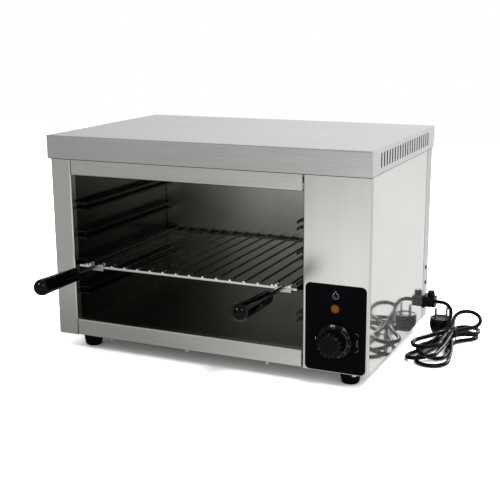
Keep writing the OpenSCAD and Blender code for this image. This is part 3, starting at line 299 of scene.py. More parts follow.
@dataclass(frozen=True)
class OvenSteel(Finish):
    """Dark liner sheet, made paler towards the top by painted light.

    Attributes:
        bloom: Paler colour painted near the top, as painted light that falls there.
        start: Height in metres where the painted light starts.
    """

    bloom: Triple
    start: float

    def sockets(self, graph: Graph) -> dict[str, object]:
        """Give the painted light towards the top, baked-on specks and a soft uneven shine."""
        height = graph.axes(graph.place())[2]
        cloud = graph.noise(14.0, 4.0)
        speck = graph.noise(160.0, 2.0)
        # painted light: the sheet turns paler towards the top of the cavity
        painted_top_light = (height + (cloud - 0.5) * 0.08).between(self.start, self.start + 0.17)
        spots = speck.between(0.68, 0.74) * 0.45
        base = graph.blend(self.colour, self.bloom, painted_top_light * 0.9)
        return {
            "Base Color": graph.blend(base, self.shade(0.3), spots),
            "Metallic": 1.0,
            "Roughness": self.rough + cloud * 0.12 + spots * 0.3,
            "Normal": graph.bump(cloud * 0.6 + speck * 0.05, 0.25, 0.0005),
        }


@dataclass(frozen=True)
class BrightChrome(Finish):
    """Plated brackets, screws and rods with a little haze."""

    def sockets(self, graph: Graph) -> dict[str, object]:
        """Give fine haze and drawn lines."""
        haze = graph.noise(60.0, 3.0)
        return {
            "Base Color": graph.blend(self.shade(0.86), self.colour, haze),
            "Metallic": 1.0,
            "Roughness": self.rough + haze.between(0.4, 0.8) * 0.1,
            "Normal": graph.bump(graph.noise(420.0, 2.0), 0.2, 0.00005),
        }


@dataclass(frozen=True)
class GridWire(Finish):
    """Drawn wire, with painted light on the front bar that stands out of the cavity, and painted
    shade and smoke further in.

    Attributes:
        bright: Colour of the front bar, painted light and highlight where it stands out of the
            cavity.
        front: Place along the depth in metres where the painted light ends.
        fade: Half the depth in metres over which it ends.
    """

    bright: Triple = (0.92, 0.92, 0.92)
    front: float = -0.0895
    fade: float = 0.0012

    def sockets(self, graph: Graph) -> dict[str, object]:
        """Give the front bar its painted light, the rest painted shade and smoke, and a drawn
        surface.
        """
        deep = graph.axes(graph.place())[1]
        smoke = graph.noise(45.0, 3.0)
        edge = deep + (smoke - 0.5) * 0.003
        # painted shade: behind the front bar the wire is painted darker, and the bar keeps painted
        # light
        painted_shade_inward = edge.between(self.front - self.fade, self.front + self.fade)
        painted_shade_and_smoke = graph.blend(self.shade(0.5), self.colour, smoke.between(0.3, 0.7))
        return {
            "Base Color": graph.blend(self.bright, painted_shade_and_smoke, painted_shade_inward),
            "Metallic": 1.0,
            "Roughness": self.rough + painted_shade_inward * 0.1 + (smoke - 0.5) * 0.1,
            "Normal": graph.bump(graph.noise(420.0, 2.0), 0.2, 0.00005),
        }


@dataclass(frozen=True)
class HeatedTube(Finish):
    """Element sheath with a mottled oxide skin."""

    def sockets(self, graph: Graph) -> dict[str, object]:
        """Give brown and blue-grey mottling and a dry surface."""
        mottle = graph.noise(70.0, 4.0)
        brown = self.shade(1.5, 1.2, 0.9)
        return {
            "Base Color": graph.blend(self.colour, brown, mottle.between(0.35, 0.7)),
            "Metallic": 0.7,
            "Roughness": self.rough + mottle * 0.2,
            "Normal": graph.bump(graph.noise(500.0, 2.0), 0.3, 0.0002),
        }


@dataclass(frozen=True)
class CastMetal(Finish):
    """Plated screws, brass and copper fittings.

    Attributes:
        tarnish: Colour of the duller patches.
    """

    tarnish: Triple

    def sockets(self, graph: Graph) -> dict[str, object]:
        """Give dull patches and turning marks."""
        patch = graph.noise(90.0, 4.0)
        marks = graph.noise(300.0, 2.0, (1.0, 1.0, 6.0))
        return {
            "Base Color": graph.blend(self.colour, self.tarnish, patch.between(0.45, 0.75) * 0.7),
            "Metallic": 1.0,
            "Roughness": self.rough + patch * 0.2,
            "Normal": graph.bump(marks, 0.25, 0.0001),
        }


@dataclass(frozen=True)
class MouldedPlastic(Finish):
    """Moulded plastic, resin or rubber.

    Attributes:
        texture: Number of the mould's grains in a metre.
        depth: Depth of the grain in metres.
        shine: Strength of the mirror part of its surface.
        dust: How far paler dust changes the colour.
    """

    texture: float
    depth: float
    shine: float = 0.3
    dust: float = 0.25

    def sockets(self, graph: Graph) -> dict[str, object]:
        """Give the mould's grain, uneven shine and a trace of dust."""
        grain = graph.noise(self.texture, 2.0)
        cloud = graph.noise(30.0, 3.0)
        dust = (cloud * 0.7 + grain * 0.3).between(0.4, 0.8) * self.dust
        return {
            "Base Color": graph.blend(self.colour, self.shade(1.5, lift=0.004), dust),
            "Roughness": self.rough + (cloud - 0.5) * 0.12 + (grain - 0.5) * 0.05,
            "Specular IOR Level": self.shine,
            "Normal": graph.bump(grain, 0.4, self.depth),
        }


@dataclass(frozen=True)
class FibreMat(Finish):
    """Mineral wool or fired ceramic with a fibrous or grainy face."""

    def sockets(self, graph: Graph) -> dict[str, object]:
        """Give crossing fibres and pores."""
        fibre = graph.noise(1.0, 3.0, (60.0, 700.0, 700.0))
        cross = graph.noise(1.0, 3.0, (700.0, 60.0, 700.0))
        both = fibre * 0.5 + cross * 0.5
        return {
            "Base Color": graph.blend(self.shade(0.75), self.colour, both),
            "Roughness": self.rough,
            "Normal": graph.bump(both, 0.6, 0.0006),
        }


@dataclass(frozen=True)
class LampGlass(Finish):
    """Tinted clear plastic with fine prism rings inside and a dark rim.

    Attributes:
        across: Side place of the lens's middle in metres.
        centre: Height of the lens's middle in metres.
        pitch: Turn of the rings' wave in radians over a metre.
        deepening: Radii between which the colour deepens.
        rim: Radii between which the dark rim starts.
    """

    across: float = 0.22525
    centre: float = 0.13
    pitch: float = 5200.0
    deepening: Pair = (0.003, 0.008)
    rim: Pair = (0.0065, 0.0071)

    def sockets(self, graph: Graph) -> dict[str, object]:
        """Give rings round the lens's middle, a deeper colour outwards and the rim."""
        side, _, height = graph.axes(graph.place())
        radius = ((side - self.across) ** 2.0 + (height - self.centre) ** 2.0) ** 0.5
        rings = (radius * self.pitch).sine() * 0.5 + 0.5
        deep, dark = self.shade(0.55, 0.35, 0.2), (0.002, 0.002, 0.002)
        tint = graph.blend(self.colour, deep, radius.between(*self.deepening))
        return {
            "Base Color": graph.blend(tint, dark, radius.between(*self.rim)),
            "Roughness": self.rough,
            "IOR": 1.49,
            "Specular IOR Level": 0.1,
            "Normal": graph.bump(rings, 0.35, 0.0002),
        }


@dataclass(frozen=True)
class Sheath(Finish):
    """Black sheath of the lead."""

    def sockets(self, graph: Graph) -> dict[str, object]:
        """Give slight scuffs and a pale bloom of the plastic."""
        scuff = graph.noise(120.0, 3.0)
        bloom = graph.noise(22.0, 2.0).between(0.35, 0.75) * 0.3
        return {
            "Base Color": graph.blend(self.colour, self.shade(2.2, lift=0.003), bloom),
            "Roughness": self.rough + scuff * 0.06,
            "Specular IOR Level": 0.12,
            "Normal": graph.bump(scuff, 0.2, 0.00003),
        }


BARE_STEEL = (0.72, 0.715, 0.685)
STEEL_FRONT = BrushedSteel("brushed_front", BARE_STEEL, 0.27, streak=0.08, depth=0.00003)
STEEL_POST = BrushedSteel("brushed_post", BARE_STEEL, 0.25, Grain.ALONG_Z, 0.05, 0.000012, 0.07)
STEEL_TOP = BrushedSteel("brushed_top", (0.68, 0.68, 0.67), 0.24, streak=0.06, depth=0.00002)
STEEL_SIDE = PolishedSteel("polished_side", (0.72, 0.72, 0.70), 0.06)
STEEL_PLAIN = BrushedSteel("plain_sheet", (0.62, 0.615, 0.595), 0.32,
                           streak=0.1, depth=0.00003, contrast=0.09)
STEEL_BASE = BrushedSteel("base_sheet", (0.30, 0.298, 0.285), 0.38, Grain.ALONG_Y)
LINER = OvenSteel("oven_liner", (0.31, 0.315, 0.285), 0.26, (0.62, 0.617, 0.59), 0.15)
# painted shade: the left wall is the liner sheet at a darker colour, for the shade that falls on
# it
SHADED_LINER_WALL = OvenSteel("liner_wall_painted_shade", (0.08, 0.08, 0.074), 0.14, (0.12, 0.118, 0.11), 0.18)
# painted shade: the runners are steel like the liner, painted much darker for the shade in the
# cavity
SHADED_RUNNER = OvenSteel("runner_steel_painted_shade", (0.045, 0.045, 0.042), 0.24, (0.07, 0.068, 0.06), 0.2)
CHROME = BrightChrome("bright_chrome", (0.84, 0.84, 0.84), 0.07)
BRACKET = BrightChrome("bracket_chrome", (0.46, 0.465, 0.47), 0.08)
ROD = BrightChrome("rod_steel", (0.30, 0.305, 0.31), 0.14)
GRID_WIRE = GridWire("grid_wire", (0.26, 0.26, 0.245), 0.2)
ELEMENT = HeatedTube("element_sheath", (0.10, 0.085, 0.075), 0.45)
ZINC = CastMetal("zinc_plate", (0.62, 0.61, 0.57), 0.26, (0.40, 0.39, 0.35))
DARK_SCREW = CastMetal("dark_screw", (0.07, 0.07, 0.065), 0.32, (0.04, 0.04, 0.04))
BRASS = CastMetal("brass", (0.72, 0.50, 0.20), 0.25, (0.30, 0.18, 0.07))
COPPER = CastMetal("copper", (0.75, 0.34, 0.20), 0.28, (0.22, 0.09, 0.05))
CERAMIC = FibreMat("fired_ceramic", (0.72, 0.68, 0.60), 0.6)
WOOL = FibreMat("mineral_wool", (0.62, 0.60, 0.52), 0.95)
GRIP_RESIN = MouldedPlastic(
    "grip_resin", (0.0006, 0.0006, 0.0008), 0.07, 300.0, 0.000003, shine=0.13, dust=0.1)
OVERLAY_FILM = MouldedPlastic(
    "overlay_film", (0.0018, 0.0018, 0.0034), 0.42, 1600.0, 0.00003, shine=0.03)
KNOB_PLASTIC = MouldedPlastic(
    "knob_plastic", (0.0016, 0.0016, 0.0028), 0.22, 1400.0, 0.00003, shine=0.12)
CAP_PLASTIC = MouldedPlastic(
    "cap_plastic", (0.0022, 0.0022, 0.0034), 0.2, 1400.0, 0.00002, shine=0.08)
TIE_PLASTIC = MouldedPlastic(
    "tie_plastic", (0.006, 0.006, 0.0065), 0.2, 1400.0, 0.00002, shine=0.45)
BLOCK_PLASTIC = MouldedPlastic(
    "block_plastic", (0.0016, 0.0016, 0.0018), 0.26, 900.0, 0.00004, shine=0.14)
FOOT_RUBBER = MouldedPlastic(
    "foot_rubber", (0.0018, 0.0018, 0.0022), 0.55, 500.0, 0.00015, shine=0.1)
# painted shadow: a dark finish for strips laid where there is only shadow, under the cover's rim
# and in the joints
GAP_SHADOW = MouldedPlastic(
    "joint_shadow", (0.012, 0.012, 0.011), 0.7, 700.0, 0.00005, shine=0.1)
WHITE_PLASTIC = MouldedPlastic("white_plastic", (0.78, 0.77, 0.73), 0.45, 700.0, 0.00005)
PRINT_WHITE = MouldedPlastic("print_white", (0.62, 0.64, 0.64), 0.55, 1800.0, 0.00001)
PRINT_GREY = MouldedPlastic("print_grey", (0.20, 0.21, 0.22), 0.55, 1800.0, 0.00001)
LAMP = LampGlass("lamp_amber", (0.25, 0.095, 0.001), 0.16)
SHEATH = Sheath("lead_sheath", (0.0010, 0.0010, 0.0011), 0.15)


def dress(finish: Finish, *pieces: bpy.types.Object) -> None:
    """Give every material slot of each piece one finish.

    Args:
        finish: The finish.
        *pieces: Objects that take it.
    """
    for piece in pieces:
        if not piece.material_slots:
            piece.data.materials.append(finish.material())
        for slot in piece.material_slots:
            slot.material = finish.material()


def dress_nodes(finish: Finish, *names: str) -> None:
    """Give the CAD nodes of these names one finish."""
    dress(finish, *[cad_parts[name] for name in names])


# --------------------------------------------------------------- work on a bench


def choose_only(piece: bpy.types.Object) -> None:
    """Select this piece alone and make it active."""
    bpy.ops.object.select_all(action="DESELECT")
    piece.select_set(True)
    bpy.context.view_layer.objects.active = piece


def put_in_scene(name: str, data: bpy.types.ID) -> bpy.types.Object:
    """Make an object of some data and put it in the scene."""
    piece = bpy.data.objects.new(name, data)
    bpy.context.collection.objects.link(piece)
    return piece


class Workpiece:
    """One mesh object that is shaped with Blender's own tools."""

    def __init__(self, name: str, piece: bpy.types.Object) -> None:
        """Take the object, name it and put its place into its mesh."""
        self.piece = piece
        piece.name = name
        piece.data.name = name
        choose_only(piece)
        bpy.ops.object.transform_apply(location=True, rotation=True, scale=True)

    @classmethod
    def block(cls, name: str, low: Vector, high: Vector) -> "Workpiece":
        """A block between two corners."""
        bpy.ops.object.select_all(action="DESELECT")
        bpy.ops.mesh.primitive_cube_add(size=1.0, location=(low + high) / 2)
        bpy.context.object.scale = high - low
        return cls(name, bpy.context.object)

    @classmethod
    def drum(
        cls, name: str, start: Vector, end: Vector, radius: float, tip: float, sides: int
    ) -> "Workpiece":
        """A round drum or cone from start to end.

        Args:
            name: Name of the piece.
            start: Middle of its first face.
            end: Middle of its last face.
            radius: Radius at the start.
            tip: Radius at the end.
            sides: Number of faces round it.

        Returns:
            The piece on the bench.
        """
        way = end - start
        bpy.ops.object.select_all(action="DESELECT")
        bpy.ops.mesh.primitive_cone_add(
            vertices=sides, radius1=radius, radius2=tip, depth=way.length,
            location=(start + end) / 2,
            rotation=UP.rotation_difference(way.normalized()).to_euler(),
        )
        return cls(name, bpy.context.object)

    @classmethod
    def from_node(cls, name: str, node: str) -> "Workpiece":
        """A merged copy of a CAD node, for softening its edges."""
        together, flat = 0.000002, math.radians(0.6)
        made = cls(name, put_in_scene(name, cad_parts[node].data.copy()))
        with made.edit():
            bpy.ops.mesh.select_all(action="SELECT")
            bpy.ops.mesh.remove_doubles(threshold=together)
            bpy.ops.mesh.dissolve_limited(angle_limit=flat)
        return made

    @contextmanager
    def edit(self) -> Iterator[None]:
        """Stay in edit mode with nothing selected at the start."""
        choose_only(self.piece)
        bpy.ops.object.mode_set(mode="EDIT")
        bpy.ops.mesh.select_all(action="DESELECT")
        yield
        bpy.ops.object.mode_set(mode="OBJECT")

    def select(self, mode: str, passes: Callable[[object], bool]) -> int:
        """Select the faces or the edges that pass a test.

        Args:
            mode: "FACE" or "EDGE".
            passes: Takes one of them.

        Returns:
            How many are selected.
        """
        bpy.ops.mesh.select_mode(type=mode)
        bpy.ops.mesh.select_all(action="DESELECT")
        mesh = bmesh.from_edit_mesh(self.piece.data)
        chosen = [part for part in (mesh.faces if mode == "FACE" else mesh.edges) if passes(part)]
        for part in chosen:
            part.select_set(True)
        bmesh.update_edit_mesh(self.piece.data)
        return len(chosen)

    def faces(self, test: Callable[[Vector, Vector], bool]) -> int:
        """Select and count the faces whose middle and normal pass the test."""
        return self.select("FACE", lambda face: test(face.calc_center_median(), face.normal))

    def edges(self, test: Callable[[Vector], bool]) -> int:
        """Select and count the edges both ends of which pass the test."""
        return self.select("EDGE", lambda edge: all(test(end.co) for end in edge.verts))

    def cut(self, place: Vector, way: Vector) -> None:
        """Cut a ring of edges all round the piece, across a direction."""
        bpy.ops.mesh.select_all(action="SELECT")
        bpy.ops.mesh.bisect(plane_co=place, plane_no=way)

    def widen(self, place: Vector, way: Vector, factors: Triple) -> None:
        """Stretch the ring of edges at a place, across a direction."""
        reach = 0.00001
        self.edges(lambda end: abs((end - place).dot(way)) < reach)
        bpy.ops.transform.resize(value=factors, center_override=place)

    def stretch(self, factors: Triple, middle: Vector) -> "Workpiece":
        """Stretch the whole piece about its middle and give it back."""
        with self.edit():
            bpy.ops.mesh.select_all(action="SELECT")
            bpy.ops.transform.resize(value=factors, center_override=middle)
        return self

    def soften(self, width: float, segments: int = 2, angle: float = 30.0) -> "Workpiece":
        """Round the sharp edges and shade the rest smoothly.

        Args:
            width: Width of the rounding in metres.
            segments: Number of its steps.
            angle: Least turn in degrees that counts as an edge.

        Returns:
            This piece.
        """
        choose_only(self.piece)
        bevel = self.piece.modifiers.new("bevel", "BEVEL")
        bevel.width = width
        bevel.segments = segments
        bevel.limit_method = "ANGLE"
        bevel.angle_limit = math.radians(angle)
        bevel.use_clamp_overlap = True
        bpy.ops.object.modifier_apply(modifier=bevel.name)
        return self.smooth(angle)

    def smooth(self, angle: float) -> "Workpiece":
        """Shade smoothly below an angle in degrees."""
        choose_only(self.piece)
        bpy.ops.object.shade_smooth_by_angle(angle=math.radians(angle))
        return self

    def finish(self, finish: Finish, body: str, slot: str) -> bpy.types.Object:
        """Dress the piece and let it ride.

        Args:
            finish: Its finish.
            body: The body that it moves with.
            slot: Not used.

        Returns:
            The finished object.
        """
        dress(finish, self.piece)
        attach(self.piece, body)
        LOG.info("%s on %s", self.piece.name, body)
        return self.piece


def stand_in(
    node: str, name: str, width: float, angle: float, finish: Finish, body: str, slot: str
) -> None:
    """Put a copy with rounded edges in a CAD node's place.

    Args:
        node: Name of the CAD node.
        name: Name of the new piece.
        width: Width of the rounding in metres.
        angle: Least turn in degrees that counts as an edge.
        finish: Its finish.
        body: The body that it moves with.
        slot: The record's slot for its material.
    """
    made = Workpiece.from_node(name, node).soften(width, 2, angle)
    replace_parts(made.finish(finish, body, slot), node)


def draw_line(
    name: str, kind: str, points: Sequence[Vector], radius: float, roundness: int
) -> bpy.types.Object:
    """Draw a round wire along points, as a curve.

    Args:
        name: Name of the wire.
        kind: "POLY" or "NURBS".
        points: Places that it follows, in metres.
        radius: Its radius in metres.
        roundness: Number of extra steps round it.

    Returns:
        The curve's object.
    """
    line = bpy.data.curves.new(name, "CURVE")
    line.dimensions = "3D"
    line.bevel_depth = radius
    line.bevel_resolution = roundness
    line.use_fill_caps = True
    spline = line.splines.new(kind)
    spline.points.add(len(points) - 1)
    for target, place in zip(spline.points, points):
        target.co = (*place, 1.0)
    return put_in_scene(name, line)


def wire(
    name: str, points: Sequence[Vector], radius: float, closed: bool, roundness: int = 2
) -> Workpiece:
    """Draw a round wire along points, as a mesh.

    Args:
        name: Name of the wire.
        points: Places that it follows, in metres.
        radius: Its radius in metres.
        closed: Whether its end joins its start.
        roundness: Number of extra steps round it.

    Returns:
        The wire on the bench.
    """
    piece = draw_line(name, "POLY", points, radius, roundness)
    piece.data.splines[0].use_cyclic_u = closed
    choose_only(piece)
    bpy.ops.object.convert(target="MESH")
    return Workpiece(name, bpy.context.object)


def stroke(name: str, points: Sequence[Vector], width: float, closed: bool = False) -> Workpiece:
    """Draw a thin printed line as a flattened wire of this width in metres."""
    middle = sum(points, Vector()) / len(points)
    return wire(name, points, width / 2, closed, 1).stretch((1.0, 0.3, 1.0), middle)


def lettering(name: str, words: str, middle: Vector, height: float, turn: float) -> Workpiece:
    """Set a word flat on a face that looks to the front.

    Args:
        name: Name of the piece.
        words: The letters or numbers.
        middle: Middle of the word.
        height: Height of the letters in metres.
        turn: Turn of the word about the front axis in radians, clockwise.

    Returns:
        The word as a mesh on the bench.
    """
    size_over_height, ink = 1.4, 0.00008
    bpy.ops.object.select_all(action="DESELECT")
    bpy.ops.object.text_add()
    piece = bpy.context.object
    piece.data.body = words
    piece.data.size = height * size_over_height
    piece.data.extrude = ink
    piece.data.align_x = "CENTER"
    piece.data.align_y = "CENTER"
    choose_only(piece)
    bpy.ops.object.convert(target="MESH")
    piece = bpy.context.object
    stand = Matrix.Rotation(math.radians(90), 4, "X")
    piece.matrix_world = Matrix.Translation(middle) @ Matrix.Rotation(turn, 4, "Y") @ stand
    return Workpiece(name, piece)


# ------------------------------------------------------------------- the lead


@dataclass
class LeadRoute:
    """The lead's route, wound into a hank and settled so that it doesn't pass through itself.

    All lengths are in millimetres.

    Attributes:
        diameter: Diameter of the lead.
        spare: Least air between two stretches.
        step: Length of one piece of the route.
        least_bend: Least bend radius.
        rounds: How often the route is settled.
        wall_x: Least side place of a free stretch, beside the casing.
        plug: Middle of the plug's foot.
        plug_clear: Least distance of a free stretch from that middle.
        plug_top: Height below which the plug is in the way.
        points: The route's points.
        holds: Whether each point stays where it is.
        from_gland: Knots from the gland down, the first of which are held.
        held_knots: How many of those are held.
        tie_y: Depth at which every stretch passes the tie.
        crossings: Side place and height of each stretch in the tie.
        loops: Knots of the loop after each crossing, in front of the tie and behind it in turn.
        to_plug: Last knots, at the plug's strain relief.
    """

    diameter: float = 7.0
    spare: float = 0.25
    step: float = 5.0
    least_bend: float = 25.0
    rounds: int = 400
    wall_x: float = 287.5
    plug: Pair = (311.0, 229.0)
    plug_clear: float = 23.5
    plug_top: float = 36.0
    points: list[Vector] = field(default_factory=list)
    holds: list[bool] = field(default_factory=list)
    from_gland: tuple[Triple, ...] = (
        (299, 234.9, 58), (307, 234.9, 58), (315, 234.5, 57.4), (322, 232.2, 54.6),
        (327.8, 228, 49), (329.8, 223, 42.1), (330, 219, 37), (329.5, 212, 31), (328.5, 201, 25),
    )
    held_knots: int = 7
    tie_y: float = 186.0
    crossings: tuple[Pair, ...] = (
        (327.5, 20.7), (335, 20.7), (342.3, 20.4), (335, 13.3),
        (342.3, 13.1), (335, 5.9), (342.3, 5.7), (327.2, 13.3),
    )
    loops: tuple[tuple[Triple, ...], ...] = (
        ((323, 163, 22), (309, 143, 22), (297, 124, 20), (291.5, 106, 18), (298, 90, 19),
         (312, 84, 21), (325, 92, 22), (331, 110, 22), (334, 135, 21.5), (335, 160, 21)),
        ((337, 208, 23.5), (339, 230, 29), (343, 250, 36), (352, 265, 41.5), (363, 268, 41.5),
         (372, 259, 36), (375, 244, 29), (372, 227, 23.5), (363, 210, 20.5), (352, 198, 20.5)),
        ((343, 163, 18), (342, 138, 13), (339, 112, 11), (334, 86, 10.5), (326, 66, 10.5),
         (312, 54, 10.5), (297, 58, 6), (290.5, 75, 3.5), (293, 97, 3.5), (302, 122, 4),
         (315, 147, 7), (328, 168, 11)),
        ((336, 208, 12), (337, 230, 11), (341, 250, 10.5), (352, 263, 10.5), (365, 261, 10.5),
         (374, 248, 10.5), (375, 231, 10.5), (367, 213, 10.5), (354, 199, 11.5)),
        ((346, 165, 10), (353, 143, 5), (357, 115, 3.5), (357, 85, 3.5), (353, 60, 3.5),
         (340, 47, 3.5), (322, 47, 3.5), (310, 60, 3.5), (306.5, 84, 3.5), (311, 112, 3.5),
         (320, 140, 3.5), (330, 165, 4.5)),
        ((336, 208, 4), (339, 230, 3.5), (345, 246, 3.5), (356, 254, 3.5), (367, 249, 3.5),
         (373, 235, 3.5), (370, 218, 3.5), (360, 203, 3.5), (350, 194, 4.5)),
        ((343, 163, 4), (344, 138, 3.5), (345, 112, 3.5), (340, 90, 5), (328, 77, 8),
         (313, 79, 11), (305, 94, 12), (307, 116, 13), (317, 142, 14), (326, 166, 14)),
    )
    to_plug: tuple[Triple, ...] = ((324, 193, 12), (320.5, 201, 11))

    def knots(self) -> list[tuple[Vector, bool]]:
        """List the route's knots and whether each is held."""
        first, last = self.from_gland[:self.held_knots], self.from_gland[self.held_knots:]
        stretches = [(first, True), (last, False)]
        for (x, z), loop in zip(self.crossings, (*self.loops, ())):
            stretches += [(((x, self.tie_y, z),), True), (loop, False)]
        stretches.append((self.to_plug, True))
        return [(Vector(knot), held) for stretch, held in stretches for knot in stretch]

    def smooth_line(self) -> list[tuple[Vector, bool]]:
        """Give many places on a smooth line through the knots, and whether each is held."""
        knots = self.knots()
        places = [place for place, _ in knots]
        parts, reach = 24, 3
        dense: list[tuple[Vector, bool]] = []
        for i, (start, end) in enumerate(zip(places, places[1:])):
            before = places[max(i - 1, 0)]
            after = places[min(i + 2, len(places) - 1)]
            start_held, end_held = knots[i][1], knots[i + 1][1]
            for k in range(parts):
                t = k / parts
                place = 0.5 * (
                    2 * start + (end - before) * t
                    + (2 * before - 5 * start + 4 * end - after) * t * t
                    + (3 * start - before - 3 * end + after) * t ** 3
                )
                near = start_held and k < reach or end_held and k > parts - reach - 1
                dense.append((place, near or start_held and end_held))
        return [*dense, (places[-1], True)]

    def sample(self) -> None:
        """Lay points at even steps along the smooth line."""
        dense = self.smooth_line()
        total = sum((b[0] - a[0]).length for a, b in zip(dense, dense[1:]))
        count = round(total / self.step)
        self.step = total / count
        self.points, self.holds = [dense[0][0].copy()], [True]
        travelled, goal = 0.0, self.step
        for (a, _), (b, fixed) in zip(dense, dense[1:]):
            length = (b - a).length
            while travelled + length >= goal and len(self.points) < count:
                self.points.append(a.lerp(b, (goal - travelled) / length))
                self.holds.append(fixed)
                goal += self.step
            travelled += length
        self.points.append(dense[-1][0].copy())
        self.holds.append(True)

    def part(self, i: int, j: int, change: Vector) -> None:
        """Move two points apart by a change, or the one that is free.

        Args:
            i: Number of the first point.
            j: Number of the second point.
            change: How far the second one moves from the first.
        """
        pts, holds = self.points, self.holds
        if not holds[i] and not holds[j]:
            pts[i] -= change * 0.5
            pts[j] += change * 0.5
        elif not holds[i]:
            pts[i] -= change
        elif not holds[j]:
            pts[j] += change

    def keep_clear(self) -> None:
        """Part the stretches that are closer than the lead is thick."""
        pts, gap = self.points, self.diameter + self.spare
        tree = KDTree(len(pts))
        for i, place in enumerate(pts):
            tree.insert(place, i)
        tree.balance()
        for i in range(len(pts)):
            for _, j, far in tree.find_range(pts[i], gap):
                if j > i + 5 and far > 1e-6:
                    self.part(i, j, (pts[j] - pts[i]).normalized() * (gap - far) * 0.9)

    def keep_bends(self) -> None:
        """Open the bends that are too tight and even out the rest."""
        pts, span = self.points, 6
        chord = 2 * self.least_bend * math.sin(span * self.step / (2 * self.least_bend))
        for i in range(len(pts) - span):
            way = pts[i + span] - pts[i]
            if 1e-6 < way.length < chord:
                self.part(i, i + span, way.normalized() * (chord - way.length) * 0.8)
        for i in range(1, len(pts) - 1):
            if not self.holds[i]:
                pts[i] += ((pts[i - 1] + pts[i + 1]) / 2 - pts[i]) * 0.2

    def keep_length(self) -> None:
        """Bring every piece back to its length, from both ends in turn."""
        pts, last = self.points, len(self.points) - 2
        for i in (*range(last + 1), *range(last, -1, -1)):
            way = pts[i + 1] - pts[i]
            self.part(i, i + 1, way.normalized() * (self.step - way.length) * 0.9)

    def keep_outside(self) -> None:
        """Keep the free points above the floor and off the casing and the plug."""
        plug, at_plug = Vector(self.plug), len(self.points) - 8
        for i, place in enumerate(self.points):
            if self.holds[i]:
                continue
            place.z = max(place.z, self.diameter / 2)
            place.x = max(place.x, self.wall_x)
            flat = Vector((place.x, place.y)) - plug
            if place.z < self.plug_top and flat.length < self.plug_clear and i < at_plug:
                flat = flat.normalized() * self.plug_clear
                place.x, place.y = plug.x + flat.x, plug.y + flat.y

    def settle(self) -> None:
        """Move the free points until the lead keeps its length, its bends and clear of itself."""
        for _ in range(self.rounds):
            self.keep_clear()
            self.keep_bends()
            self.keep_length()
            self.keep_outside()

    def measure(self) -> dict[str, float]:
        """Give the route's length, its tightest bend and its closest pass, in millimetres."""
        pts = self.points
        bends = []
        for a, b, c in zip(pts, pts[2:], pts[4:]):
            area = (b - a).cross(c - a).length / 2
            bends.append((b - a).length * (c - b).length * (c - a).length / max(4 * area, 1e-9))
        close = min((b - a).length for i, a in enumerate(pts) for b in pts[i + 7:])
        length = sum((b - a).length for a, b in zip(pts, pts[1:]))
        return {"length": length, "bend": min(bends), "close": close}


